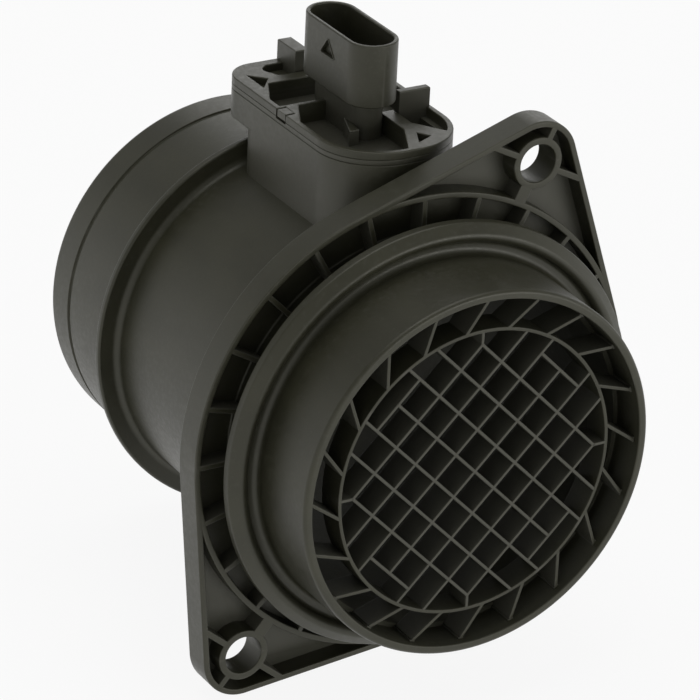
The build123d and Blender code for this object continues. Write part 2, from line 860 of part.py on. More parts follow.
# ---------------------------------------------------------------- sensing pieces
with BuildPart() as chip_holder:
    with BuildSketch(Plane.YZ.offset(holder_x - chip_holder_t / 2)):
        add(rounded_box(
            (pocket_mid_y - chip_holder_w / 2, channel_high[1] - chip_holder_in),
            (pocket_mid_y + chip_holder_w / 2, board_low_z - board_edge),
            board_round,
        ))
    extrude(amount=chip_holder_t)
    with BuildSketch(Plane.YZ.offset(holder_x + chip_holder_t / 2 - chip_t)):
        with Locations((pocket_mid_y, loop_z)):
            Rectangle(chip_w + 2 * terminal_clear, chip_l + 2 * terminal_clear)
    extrude(amount=chip_t, mode=Mode.SUBTRACT)

chip_holder.part.label = "chip_holder"
export_step(chip_holder.part, "parts/chip_holder.step")


with BuildPart() as sensor_chip:
    with BuildSketch(Plane.YZ.offset(holder_x + chip_holder_t / 2 - chip_t)):
        with Locations((pocket_mid_y, loop_z)):
            Rectangle(chip_w, chip_l)
    extrude(amount=chip_t)

sensor_chip.part.label = "sensor_chip"
export_step(sensor_chip.part, "parts/sensor_chip.step")


with BuildPart() as thermistor:
    with BuildSketch(Plane.XY.offset(loop_z - thermistor_l / 2)):
        with Locations((lead_x, thermistor_y)):
            Circle(thermistor_r)
    extrude(amount=thermistor_l)
    fillet(thermistor.edges(), radius=thermistor_round)

thermistor.part.label = "thermistor"
export_step(thermistor.part, "parts/thermistor.step")


with BuildPart() as thermistor_leads:
    with BuildSketch(Plane.XY.offset(loop_z + thermistor_l / 2)):
        with Locations(*lead_places):
            Circle(lead_r)
    extrude(amount=board_low_z - loop_z - thermistor_l / 2)

thermistor_leads.part.label = "thermistor_leads"
export_step(thermistor_leads.part, "parts/thermistor_leads.step")


# ---------------------------------------------------------------- terminals
def terminal(y):
    """Blade of one contact: straight down through the plug, then a foot that rests on the board."""
    with BuildPart() as pin:
        with BuildSketch(Plane.XZ.offset(-(y - terminal_w / 2))):
            with BuildLine():
                FilletPolyline(
                    (shroud_x - terminal_t / 2, terminal_top_z),
                    (shroud_x - terminal_t / 2, terminal_foot_z + terminal_t),
                    (board_face_x, terminal_foot_z + terminal_t),
                    (board_face_x, terminal_foot_z),
                    (shroud_x + terminal_t / 2, terminal_foot_z),
                    (shroud_x + terminal_t / 2, terminal_top_z),
                    radius=[0, terminal_bend, 0, 0, terminal_bend + terminal_t, 0],
                    close=True,
                )
            make_face()
        extrude(amount=-terminal_w)
        chamfer(pin.faces().sort_by(Axis.Z)[-1].edges(), length=terminal_t / 4)
    return pin.part


for number, place in enumerate(terminal_ys(), start=1):
    contact = terminal(place)
    contact.label = f"terminal_{number}"
    export_step(contact, f"parts/terminal_{number}.step")
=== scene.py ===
"""Dress of a mass airflow sensor: duct, guard grid, sensor module, contacts and studio."""

import logging
import math
from dataclasses import dataclass, field
from enum import Enum
from typing import Iterable, Sequence

import bmesh
import bpy
from mathutils import Matrix, Vector
from mathutils.geometry import tessellate_polygon


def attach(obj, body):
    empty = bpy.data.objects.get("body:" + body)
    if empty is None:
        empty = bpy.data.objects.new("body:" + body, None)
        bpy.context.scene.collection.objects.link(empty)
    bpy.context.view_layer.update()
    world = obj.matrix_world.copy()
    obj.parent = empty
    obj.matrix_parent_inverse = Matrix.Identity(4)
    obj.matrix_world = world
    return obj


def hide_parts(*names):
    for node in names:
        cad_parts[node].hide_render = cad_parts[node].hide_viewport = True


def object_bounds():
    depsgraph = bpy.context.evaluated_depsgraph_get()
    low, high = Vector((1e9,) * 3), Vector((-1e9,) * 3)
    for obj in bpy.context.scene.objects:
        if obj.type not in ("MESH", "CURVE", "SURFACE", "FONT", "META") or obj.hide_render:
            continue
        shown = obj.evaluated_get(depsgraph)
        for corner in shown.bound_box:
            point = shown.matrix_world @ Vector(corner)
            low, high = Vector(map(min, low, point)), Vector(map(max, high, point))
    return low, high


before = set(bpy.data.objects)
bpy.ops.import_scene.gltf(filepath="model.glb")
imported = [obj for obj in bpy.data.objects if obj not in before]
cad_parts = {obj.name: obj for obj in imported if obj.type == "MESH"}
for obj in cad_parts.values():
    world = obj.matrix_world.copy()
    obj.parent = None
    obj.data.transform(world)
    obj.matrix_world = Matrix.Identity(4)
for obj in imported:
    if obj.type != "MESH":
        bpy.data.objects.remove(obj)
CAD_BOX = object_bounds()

MM = 0.001
MERGE_DISTANCE = 1e-8
# Neighbouring forms reach into each other by LAP, and HAIR keeps two faces out of one plane. Both in mm.
LAP = 0.01
HAIR = 0.002
TURN_STEPS = 216
ROUND_STEPS = 3
ROOT = "root"
WHITE = (1.0, 1.0, 1.0, 1.0)
Point = tuple[float, float]
Corner = tuple[float, float, float]
Loop = list[Point]
Colour = tuple[float, float, float]
Links = dict[str | int, object]

log = logging.getLogger("airflow_sensor")


class Sheet(Enum):
    """Plane that an outline is drawn in, and the axis that its thickness runs along."""

    ACROSS = "x and z, thickness along the duct"
    LEVEL = "x and y, thickness upwards"
    ALONG = "y and z, thickness to the right"

    def place(self, u: float, v: float, w: float) -> Vector:
        """Puts a drawn point at its place.

        Args:
            u: First drawn coordinate, in mm.
            v: Second drawn coordinate, in mm.
            w: Height over the drawing plane, in mm.

        Returns:
            The point in metres.
        """
        if self is Sheet.ACROSS:
            return Vector((u, w, v)) * MM
        if self is Sheet.LEVEL:
            return Vector((u, v, w)) * MM
        return Vector((w, u, v)) * MM


# ---------------------------------------------------------------- outlines
def polar(radius: float, angle: float) -> Point:
    """Point at a radius and an angle in degrees."""
    return radius * math.cos(math.radians(angle)), radius * math.sin(math.radians(angle))


def circle(centre: Point, radius: float, steps: int = 64) -> Loop:
    """Closed round outline, counterclockwise."""
    return [(centre[0] + x, centre[1] + y) for x, y in (polar(radius, 360 * k / steps) for k in range(steps))]


def rounded(corners: Sequence[Corner], turn: float = 6.0) -> Loop:
    """Closed outline with a radius at each corner.

    Args:
        corners: x, y and radius of each corner.
        turn: Degrees between the points of an arc.

    Returns:
        The outline's points, in the order of the corners.
    """
    loop: Loop = []
    count = len(corners)
    for k, (x, y, radius) in enumerate(corners):
        here = Vector((x, y))
        back = (Vector(corners[k - 1][:2]) - here).normalized()
        ahead = (Vector(corners[(k + 1) % count][:2]) - here).normalized()
        if radius <= 0:
            loop.append((x, y))
            continue
        opening = back.angle(ahead)
        centre = here + (back + ahead).normalized() * (radius / math.sin(opening / 2))
        first = here + back * (radius / math.tan(opening / 2)) - centre
        sweep = math.pi - opening
        side = 1.0 if back.cross(ahead) < 0 else -1.0
        steps = max(2, math.ceil(math.degrees(sweep) / turn))
        for step in range(steps + 1):
            spin = Matrix.Rotation(side * sweep * step / steps, 2)
            point = centre + spin @ first
            loop.append((point.x, point.y))
    return loop


def hull(points: Iterable[Point]) -> Loop:
    """Smallest convex outline round some points.

    Args:
        points: The points, in any order.

    Returns:
        The outline, counterclockwise.
    """
    ordered = sorted(set(points))

    def chain(run: Iterable[Point]) -> Loop:
        """One half of the outline.

        Args:
            run: All points, sorted along the half.

        Returns:
            Its corners without the last one.
        """
        kept: Loop = []
        for p in run:
            while len(kept) > 1:
                (ax, ay), (bx, by) = kept[-2], kept[-1]
                if (bx - ax) * (p[1] - ay) - (by - ay) * (p[0] - ax) > 0:
                    break
                kept.pop()
            kept.append(p)
        return kept[:-1]

    return chain(ordered) + chain(reversed(ordered))


def drawn_in(loop: Loop, distance: float) -> Loop:
    """Outline moved to its left: inwards when it runs counterclockwise.

    Args:
        loop: The outline.
        distance: How far it moves, in mm.

    Returns:
        The moved outline.
    """
    moved: Loop = []
    count = len(loop)
    for k, point in enumerate(loop):
        here = Vector(point)
        before = (here - Vector(loop[k - 1])).normalized()
        after = (Vector(loop[(k + 1) % count]) - here).normalized()
        left_a, left_b = Vector((-before.y, before.x)), Vector((-after.y, after.x))
        spot = here + (left_a + left_b) * (distance / max(0.2, 1 + left_a.dot(left_b)))
        moved.append((spot.x, spot.y))
    return moved


def clipped(loop: Loop, start: Point, end: Point) -> Loop:
    """Part of an outline that lies left of a line.

    Args:
        loop: The outline.
        start: Start of the line.
        end: End of the line.

    Returns:
        What is left of the outline.
    """
    along = Vector(end) - Vector(start)
    kept: Loop = []
    for k, point in enumerate(loop):
        last = loop[k - 1]
        side_last = along.cross(Vector(last) - Vector(start))
        side_here = along.cross(Vector(point) - Vector(start))
        if side_last * side_here < 0:
            share = side_last / (side_last - side_here)
            kept.append((last[0] + share * (point[0] - last[0]), last[1] + share * (point[1] - last[1])))
        if side_here >= 0:
            kept.append(point)
    return kept


def is_clockwise(loop: Loop) -> bool:
    """Whether the outline runs clockwise."""
    return sum(loop[k - 1][0] * y - loop[k - 1][1] * x for k, (x, y) in enumerate(loop)) < 0


def facing(loop: Loop, clockwise: bool) -> Loop:
    """The outline, turned round if it runs the other way."""
    return loop if is_clockwise(loop) == clockwise else loop[::-1]


# ---------------------------------------------------------------- meshes
class Mould:
    """Collects the closed forms of one moulded piece in a single mesh."""

    def __init__(self) -> None:
        """Starts with an empty mould."""
        self.form = bmesh.new()

    @staticmethod
    def _profile(low: float, high: float, foot: float, edge: float) -> Loop:
        """Section of a wall with rounded edges.

        Args:
            low: Lower height in mm.
            high: Upper height in mm.
            foot: Radius of the lower edge in mm.
            edge: Radius of the upper edge in mm.

        Returns:
            Inset and height of each ring, upwards.
        """
        levels: Loop = []
        for radius, height, way in ((foot, low, 1.0), (edge, high, -1.0)):
            steps = ROUND_STEPS if radius > 0 else 0
            turns = [math.pi / 2 * k / max(1, steps) for k in range(steps + 1)]
            ring = [(radius * (1 - math.sin(a)), height + way * radius * (1 - math.cos(a))) for a in turns]
            levels += ring if way > 0 else ring[::-1]
        return levels

    def slab(self, sheet: Sheet, outer: Loop, low: float, high: float, edge: float = 0.25,
             holes: Sequence[Loop] = (), low_edge: float | None = None,
             hole_edges: tuple[float, float] | None = None) -> None:
        """Adds a plate or wall with rounded edges.

        Args:
            sheet: Plane of the outlines.
            outer: Outside outline.
            low: Lower height in mm.
            high: Upper height in mm.
            edge: Radius of the upper edges in mm.
            holes: Outlines of openings through it.
            low_edge: Radius of the lower edges, if it differs.
            hole_edges: Lower and upper edge radius of the openings, if they differ.
        """
        foot = edge if low_edge is None else low_edge
        skins = [(facing(outer, False), self._profile(low, high, foot, edge))]
        opening = self._profile(low, high, *(hole_edges or (foot, edge)))
        skins += [(facing(hole, True), opening) for hole in holes]
        rims: list[list[Loop]] = []
        for loop, levels in skins:
            rings = []
            for inset, height in levels:
                outline = drawn_in(loop, inset) if inset > 0 else loop
                rings.append([self.form.verts.new(sheet.place(x, y, height)) for x, y in outline])
            for below, above in zip(rings, rings[1:]):
                self._band(below, above)
            rims.append([rings[0], rings[-1]])
        for end in (0, 1):
            self._cap([rim[end] for rim in rims])

    def turned(self, profile: Loop) -> None:
        """Adds a ring turned about the duct axis.

        Args:
            profile: Closed section, as radius and y.
        """
        rings = []
        for k in range(TURN_STEPS):
            cos_a, sin_a = polar(1.0, 360 * k / TURN_STEPS)
            rings.append([self.form.verts.new(Vector((r * cos_a, y, r * sin_a)) * MM) for r, y in profile])
        for k in range(TURN_STEPS):
            self._band(rings[k - 1], rings[k])

    def take(self, mesh: bpy.types.Mesh) -> None:
        """Adds a mesh that is already in its place."""
        self.form.from_mesh(mesh)

    def _band(self, first: list, second: list) -> None:
        """Joins two closed rings of points with faces."""
        for k in range(len(first)):
            self.form.faces.new((first[k - 1], first[k], second[k], second[k - 1]))

    def _cap(self, rims: list) -> None:
        """Closes rings that lie in one plane, leaving the openings free.

        Args:
            rims: The outer ring and the rings of the openings.
        """
        flat = [[vert.co for vert in rim] for rim in rims]
        verts = [vert for rim in rims for vert in rim]
        for corners in tessellate_polygon(flat):
            if len(set(corners)) == 3:
                try:
                    self.form.faces.new([verts[k] for k in corners])
                except ValueError:
                    continue

    def mesh(self, name: str) -> bpy.types.Mesh:
        """Closes the mould.

        Args:
            name: Name of the mesh.

        Returns:
            The mesh with its faces pointing outwards.
        """
        bmesh.ops.remove_doubles(self.form, verts=self.form.verts, dist=MERGE_DISTANCE)
        bmesh.ops.recalc_face_normals(self.form, faces=self.form.faces)
        result = bpy.data.meshes.new(name)
        self.form.to_mesh(result)
        self.form.free()
        result.polygons.foreach_set("use_smooth", [True] * len(result.polygons))
        return result


def linked(name: str, data: bpy.types.ID) -> bpy.types.Object:
    """Puts a mesh, lamp or camera in the scene.

    Args:
        name: Name of the object.
        data: What the object shows.

    Returns:
        The object.
    """
    made = bpy.data.objects.new(name, data)
    bpy.context.scene.collection.objects.link(made)
    return made


def settled(made: bpy.types.Object) -> bpy.types.Mesh:
    """Works an object's modifiers into its mesh and removes them.

    Args:
        made: The object.

    Returns:
        Its new plain mesh.
    """
    graph = bpy.context.evaluated_depsgraph_get()
    result = bpy.data.meshes.new_from_object(made.evaluated_get(graph), depsgraph=graph)
    made.modifiers.clear()
    made.data = result
    return result


def cut(body: bpy.types.Mesh, tools: Sequence[bpy.types.Mesh]) -> bpy.types.Mesh:
    """Cuts closed forms out of a closed form.

    Args:
        body: Mesh to cut.
        tools: Meshes that are taken away from it.

    Returns:
        The cut mesh.
    """
    made = linked(body.name, body)
    helpers = [linked(f"{body.name}_tool_{k}", tool) for k, tool in enumerate(tools)]
    for helper in helpers:
        step = made.modifiers.new("cut", "BOOLEAN")
        step.operation = "DIFFERENCE"
        step.solver = "EXACT"
        step.object = helper
    result = settled(made)
    for leftover in [*helpers, made]:
        bpy.data.objects.remove(leftover)
    return result


# ---------------------------------------------------------------- node trees
class NodeTree:
    """Node tree under construction."""

    def __init__(self, tree: bpy.types.NodeTree) -> None:
        """Takes the tree that the nodes go into."""
        self.tree = tree

    def feed(self, socket: bpy.types.NodeSocket, source: object) -> None:
        """Feeds an input.

        Args:
            socket: The input.
            source: Another node's output, or a value.
        """
        if isinstance(source, bpy.types.NodeSocket):
            self.tree.links.new(source, socket)
        else:
            socket.default_value = source

    def node(self, kind: str, links: Links | None = None, **settings: object) -> bpy.types.Node:
        """Adds a node.

        Args:
            kind: Type of the node.
            links: What feeds each of its inputs: another node's output, or a value.
            settings: Properties of the node.

        Returns:
            The node.
        """
        made = self.tree.nodes.new(kind)
        for label, value in settings.items():
            setattr(made, label, value)
        for label, source in (links or {}).items():
            self.feed(made.inputs[label], source)
        return made


class Recipe(NodeTree):
    """Geometry node tree with named inputs that ends in real geometry with its material."""

    def __init__(self, name: str, sizes: dict[str, float]) -> None:
        """Starts a tree.

        Args:
            name: Name of the tree.
            sizes: Named numbers that it takes, with their usual values.
        """
        super().__init__(bpy.data.node_groups.new(name, "GeometryNodeTree"))
        sockets = self.tree.interface
        sockets.new_socket("Geometry", in_out="INPUT", socket_type="NodeSocketGeometry")
        for label, usual in sizes.items():
            kind = "NodeSocketInt" if isinstance(usual, int) else "NodeSocketFloat"
            sockets.new_socket(label, in_out="INPUT", socket_type=kind).default_value = usual
        sockets.new_socket("Material", in_out="INPUT", socket_type="NodeSocketMaterial")
        sockets.new_socket("Geometry", in_out="OUTPUT", socket_type="NodeSocketGeometry")
        self.given = self.tree.nodes.new("NodeGroupInput").outputs

    def close(self, geometry: bpy.types.NodeSocket) -> "Recipe":
        """Ends the tree: real geometry, then its material.

        Args:
            geometry: What the tree has made.

        Returns:
            The recipe, ready to run.
        """
        real = self.node("GeometryNodeRealizeInstances", {"Geometry": geometry})
        dressed = self.node("GeometryNodeSetMaterial",
                            {"Geometry": real.outputs["Geometry"], "Material": self.given["Material"]})
        self.node("NodeGroupOutput", {"Geometry": dressed.outputs["Geometry"]})
        return self

    def run(self, start: bpy.types.Mesh, material: bpy.types.Material,
            **sizes: float) -> bpy.types.Mesh:
        """Runs the tree on a mesh.

        Args:
            start: Mesh that the tree begins with.
            material: Material of the result.
            sizes: Values of its inputs, with _ for a blank in a name.

        Returns:
            The plain mesh that it makes.
        """
        made = linked(start.name, start)
        step = made.modifiers.new(self.tree.name, "NODES")
        step.node_group = self.tree
        values = {label.replace("_", " "): value for label, value in sizes.items()}
        values["Material"] = material
        for item in self.tree.interface.items_tree:
            if item.in_out == "INPUT" and item.name in values:
                step[item.identifier] = values[item.name]
        result = settled(made)
        bpy.data.objects.remove(made)
        return result


def ring_recipe() -> Recipe:
    """Tree that repeats a form round the duct axis.

    Returns:
        The recipe, with the inputs Count and First angle.
    """
    recipe = Recipe("repeat round the duct", {"Count": 12, "First angle": 0.0})
    points = recipe.node("GeometryNodePoints", {"Count": recipe.given["Count"]})
    index = recipe.node("GeometryNodeInputIndex")
    share = recipe.node("ShaderNodeMath", {0: 2 * math.pi, 1: recipe.given["Count"]}, operation="DIVIDE")
    angle = recipe.node("ShaderNodeMath", {0: index.outputs[0], 1: share.outputs[0],
                                           2: recipe.given["First angle"]}, operation="MULTIPLY_ADD")
    turn = recipe.node("ShaderNodeMath", {0: angle.outputs[0], 1: -1.0}, operation="MULTIPLY")
    axis = recipe.node("ShaderNodeCombineXYZ", {"Y": turn.outputs[0]})
    spin = recipe.node("FunctionNodeEulerToRotation", {0: axis.outputs[0]})
    copies = recipe.node("GeometryNodeInstanceOnPoints",
                         {"Points": points.outputs[0], "Instance": recipe.given["Geometry"],
                          "Rotation": spin.outputs[0]})
    return recipe.close(copies.outputs["Instances"])


def bar_recipe() -> Recipe:
    """Tree that turns every line of a flat drawing into a bar with rounded edges.

    Returns:
        The recipe, with the inputs Width, Depth and Edge in metres.
    """
    recipe = Recipe("bars along lines", {"Width": 0.001, "Depth": 0.006, "Edge": 0.0002})
    lines = recipe.node("GeometryNodeMeshToCurve", {"Mesh": recipe.given["Geometry"]})
    upright = recipe.node("GeometryNodeSetCurveNormal", {"Curve": lines.outputs[0]}, mode="Z_UP")
    section = recipe.node("GeometryNodeCurvePrimitiveQuadrilateral",
                          {"Width": recipe.given["Width"], "Height": recipe.given["Depth"]})
    soft = recipe.node("GeometryNodeFilletCurve", {"Curve": section.outputs[0], "Count": ROUND_STEPS,
                                                   "Radius": recipe.given["Edge"]}, mode="POLY")
    bars = recipe.node("GeometryNodeCurveToMesh",
                       {"Curve": upright.outputs[0], "Profile Curve": soft.outputs[0], "Fill Caps": True})
    return recipe.close(bars.outputs[0])


# ---------------------------------------------------------------- finishes
class Shader(NodeTree):
    """Node material under construction, on object coordinates."""

    def __init__(self, name: str) -> None:
        """Starts a material with its coordinates in metres.

        Args:
            name: Name of the material.
        """
        self.material = bpy.data.materials.new(name)
        self.material.use_nodes = True
        super().__init__(self.material.node_tree)
        self.surface = next(n for n in self.tree.nodes if n.type == "BSDF_PRINCIPLED")
        self.spot = self.tree.nodes.new("ShaderNodeTexCoord").outputs["Object"]

    def noise(self, size_mm: float, detail: float = 2.0,
              stretch: Sequence[float] = (1, 1, 1)) -> bpy.types.NodeSocket:
        """Noise over the surface.

        Args:
            size_mm: Size of its patches in mm.
            detail: How many finer layers it has.
            stretch: How much longer a patch is along each axis.

        Returns:
            The noise, round 0.5.
        """
        spread = self.node("ShaderNodeMapping", {"Vector": self.spot, "Scale": tuple(1 / s for s in stretch)})
        made = self.node("ShaderNodeTexNoise", {"Vector": spread.outputs[0], "Scale": 1 / (size_mm * MM),
                                                "Detail": detail, "Roughness": 0.55})
        return made.outputs["Fac"]

    def between(self, factor: bpy.types.NodeSocket, low: float, high: float,
                start: float = 0.35, end: float = 0.65) -> bpy.types.NodeSocket:
        """Number that follows a factor.

        Args:
            factor: The factor.
            low: Number where the factor is at start or under it.
            high: Number where the factor is at end or over it.
            start: Factor at which the number begins to change.
            end: Factor at which it stops.

        Returns:
            The number.
        """
        made = self.node("ShaderNodeMapRange", {"Value": factor, "From Min": start, "From Max": end,
                                                "To Min": low, "To Max": high})
        return made.outputs["Result"]

    def mixed(self, factor: object, first: object, second: object) -> bpy.types.NodeSocket:
        """Colour between two colours."""
        made = self.node("ShaderNodeMix", {"Factor": factor, 6: first, 7: second}, data_type="RGBA")
        return made.outputs[2]

    def bumped(self, height: bpy.types.NodeSocket, depth_mm: float,
               under: bpy.types.NodeSocket | None = None) -> bpy.types.NodeSocket:
        """Surface direction over a relief.

        Args:
            height: Height of the relief, from 0 to 1.
            depth_mm: Its depth in mm.
            under: Surface direction of a coarser relief under it.

        Returns:
            The surface direction.
        """
        links: Links = {"Height": height, "Strength": 1.0, "Distance": depth_mm * MM}
        if under is not None:
            links["Normal"] = under
        return self.node("ShaderNodeBump", links).outputs["Normal"]

    def close(self, **sockets: object) -> bpy.types.Material:
        """Feeds the surface's sockets.

        Args:
            sockets: What feeds each, with _ for a blank in its name.

        Returns:
            The material.
        """
        for label, source in sockets.items():
            self.feed(self.surface.inputs[label.replace("_", " ")], source)
        return self.material


def rgba(colour: Colour) -> tuple[float, float, float, float]:
    """Colour with full cover."""
    return (*colour, 1.0)


@dataclass(frozen=True)
class MouldedPlastic:
    """Glass-filled plastic from a lightly grained mould."""

    name: str
    colour: Colour = (0.0265, 0.0262, 0.0155)
    cloud: Colour = (0.034, 0.0335, 0.020)
    # Pale tone of the random flecks, also used as a painted highlight on sharp edges.
    edge: Colour = (0.060, 0.059, 0.046)
    gloss: tuple[float, float] = (0.35, 0.47)
    sheen: Colour = (1.0, 0.99, 0.90)
    dull_inside: float = 0.0
    inside_mm: tuple[float, float] = (33.6, 34.6)
    cloud_mm: float = 9.0
    cloud_stretch: tuple[float, float, float] = (1, 2.2, 1)
    speck_mm: float = 0.9
    grain_mm: float = 0.30
    grain_depth: float = 0.008
    wave_mm: float = 6.0
    wave_depth: float = 0.020

    def material(self) -> bpy.types.Material:
        """Clouded black with fine grain, faint sink waves and a painted highlight on its sharp edges.

        Returns:
            The material.
        """
        shader = Shader(self.name)
        cloud = shader.noise(self.cloud_mm, 4.0, self.cloud_stretch)
        fine = shader.noise(self.grain_mm, 2.0)
        speck = shader.noise(self.speck_mm, 3.0)
        body = shader.mixed(shader.between(cloud, 0, 1), rgba(self.colour), rgba(self.cloud))
        body = shader.mixed(shader.between(speck, 0, 0.35, 0.55, 0.75), body, rgba(self.edge))
        # Painted highlight: sharp edges, found by their pointiness, are painted in the pale edge colour.
        corner = shader.node("ShaderNodeNewGeometry").outputs["Pointiness"]
        painted_edge_highlight = shader.between(corner, 0, 0.8, 0.53, 0.60)
        body = shader.mixed(painted_edge_highlight, body, rgba(self.edge))
        relief = shader.bumped(shader.noise(self.wave_mm, 1.0), self.wave_depth)
        relief = shader.bumped(fine, self.grain_depth, relief)
        gloss = shader.between(speck, *self.gloss, 0.3, 0.7)
        if self.dull_inside > 0:
            flat = shader.node("ShaderNodeVectorMath", {0: shader.spot, 1: (1, 0, 1)}, operation="MULTIPLY")
            reach = shader.node("ShaderNodeVectorMath", {0: flat.outputs[0]}, operation="LENGTH")
            inside = shader.between(reach.outputs["Value"], self.dull_inside, 0,
                                    *(radius * MM for radius in self.inside_mm))
            gloss = shader.node("ShaderNodeMath", {0: gloss, 1: inside}, operation="ADD").outputs[0]
        return shader.close(Base_Color=body, Roughness=gloss,
                            Normal=relief, IOR=1.5, Specular_Tint=rgba(self.sheen))


@dataclass(frozen=True)
class Rubber:
    """Matt seal rubber."""

    name: str
    colour: Colour = (0.018, 0.019, 0.021)
    bloom: Colour = (0.045, 0.047, 0.050)

    def material(self) -> bpy.types.Material:
        """Dark rubber with a dusty bloom and a soft fine grain.

        Returns:
            The material.
        """
        shader = Shader(self.name)
        dust = shader.noise(2.5, 5.0)
        colour = shader.mixed(shader.between(dust, 0, 1), rgba(self.colour), rgba(self.bloom))
        return shader.close(Base_Color=colour, Roughness=shader.between(dust, 0.6, 0.8),
                            Normal=shader.bumped(shader.noise(0.15), 0.01))


@dataclass(frozen=True)
class PlatedMetal:
    """Stamped or rolled metal with drawing marks along one direction."""

    name: str
    colour: Colour
    dull: Colour
    gloss: tuple[float, float] = (0.22, 0.38)
    marks: tuple[float, float, float] = (1, 1, 12)

    def material(self) -> bpy.types.Material:
        """Metal with faint tarnish and fine marks.

        Returns:
            The material.
        """
        shader = Shader(self.name)
        tarnish = shader.noise(1.6, 4.0)
        marks = shader.noise(0.12, 3.0, self.marks)
        colour = shader.mixed(shader.between(tarnish, 0, 1), rgba(self.colour), rgba(self.dull))
        return shader.close(Base_Color=colour, Metallic=1.0, Roughness=shader.between(marks, *self.gloss),
                            Normal=shader.bumped(marks, 0.003))


@dataclass(frozen=True)
class CeramicBoard:
    """Fired ceramic board with printed conductors and glassy resistor patches."""

    name: str
    ceramic: Colour = (0.72, 0.72, 0.66)
    track: Colour = (0.33, 0.30, 0.24)
    fired: Colour = (0.6, 0.6, 0.55)
    field_mm: float = 5.2
    line_share: float = 0.03

    def material(self) -> bpy.types.Material:
        """Pale ceramic with tracks between square fields.

        Returns:
            The material.
        """
        shader = Shader(self.name)
        grid = shader.node("ShaderNodeMapping", {"Vector": shader.spot, "Rotation": (0, math.pi / 2, 0)})
        tracks = shader.node("ShaderNodeTexBrick", {"Vector": grid.outputs[0], "Scale": 1 / (self.field_mm * MM),
                                                    "Mortar Size": self.line_share, "Mortar Smooth": 0.05})
        line = tracks.outputs["Fac"]
        plain = shader.mixed(shader.between(shader.noise(0.5, 3.0), 0, 0.4), rgba(self.ceramic), rgba(self.fired))
        return shader.close(Base_Color=shader.mixed(line, plain, rgba(self.track)),
                            Roughness=shader.between(line, 0.55, 0.3, 0, 1),
                            Normal=shader.bumped(line, 0.02))


@dataclass(frozen=True)
class SmallPart:
    """Body of a chip, bead or chip-sized capacitor."""

    name: str
    colour: Colour
    fleck: Colour
    gloss: tuple[float, float] = (0.25, 0.4)
    grain_mm: float = 0.12

    def material(self) -> bpy.types.Material:
        """Moulded or fired body with a fine fleck.

        Returns:
            The material.
        """
        shader = Shader(self.name)
        fleck = shader.noise(self.grain_mm, 4.0)
        colour = shader.mixed(shader.between(fleck, 0, 1, 0.45, 0.75), rgba(self.colour), rgba(self.fleck))
        return shader.close(Base_Color=colour, Roughness=shader.between(fleck, *self.gloss),
                            Normal=shader.bumped(fleck, 0.004))


# ---------------------------------------------------------------- pieces
class SubAssembly:
    """What every sub-assembly does to hand over a finished piece."""

    body: str = ROOT
    crease: float = 48.0
    face_weight: int = 60

    def hand_over(self, name: str, mesh: bpy.types.Mesh, finish: bpy.types.Material, slot: str,
                  *nodes: str) -> bpy.types.Object:
        """Puts a mesh in the scene as a finished piece.

        Args:
            name: Name of the piece.
            mesh: Its mesh, in place.
            finish: Its material.
            slot: Material slot of the record; not used.
            nodes: CAD nodes that it stands for.

        Returns:
            The piece.
        """
        mesh.materials.clear()
        mesh.materials.append(finish)
        mesh.polygons.foreach_set("material_index", [0] * len(mesh.polygons))
        mesh.set_sharp_from_angle(angle=math.radians(self.crease))
        made = linked(name, mesh)
        weights = made.modifiers.new("even shading", "WEIGHTED_NORMAL")
        weights.weight = self.face_weight
        weights.keep_sharp = True
        mesh = settled(made)
        mesh.name = name
        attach(made, self.body)
        if nodes:
            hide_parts(*nodes)
        log.info("%s: %d faces, %s", name, len(mesh.polygons), finish.name)
        return made


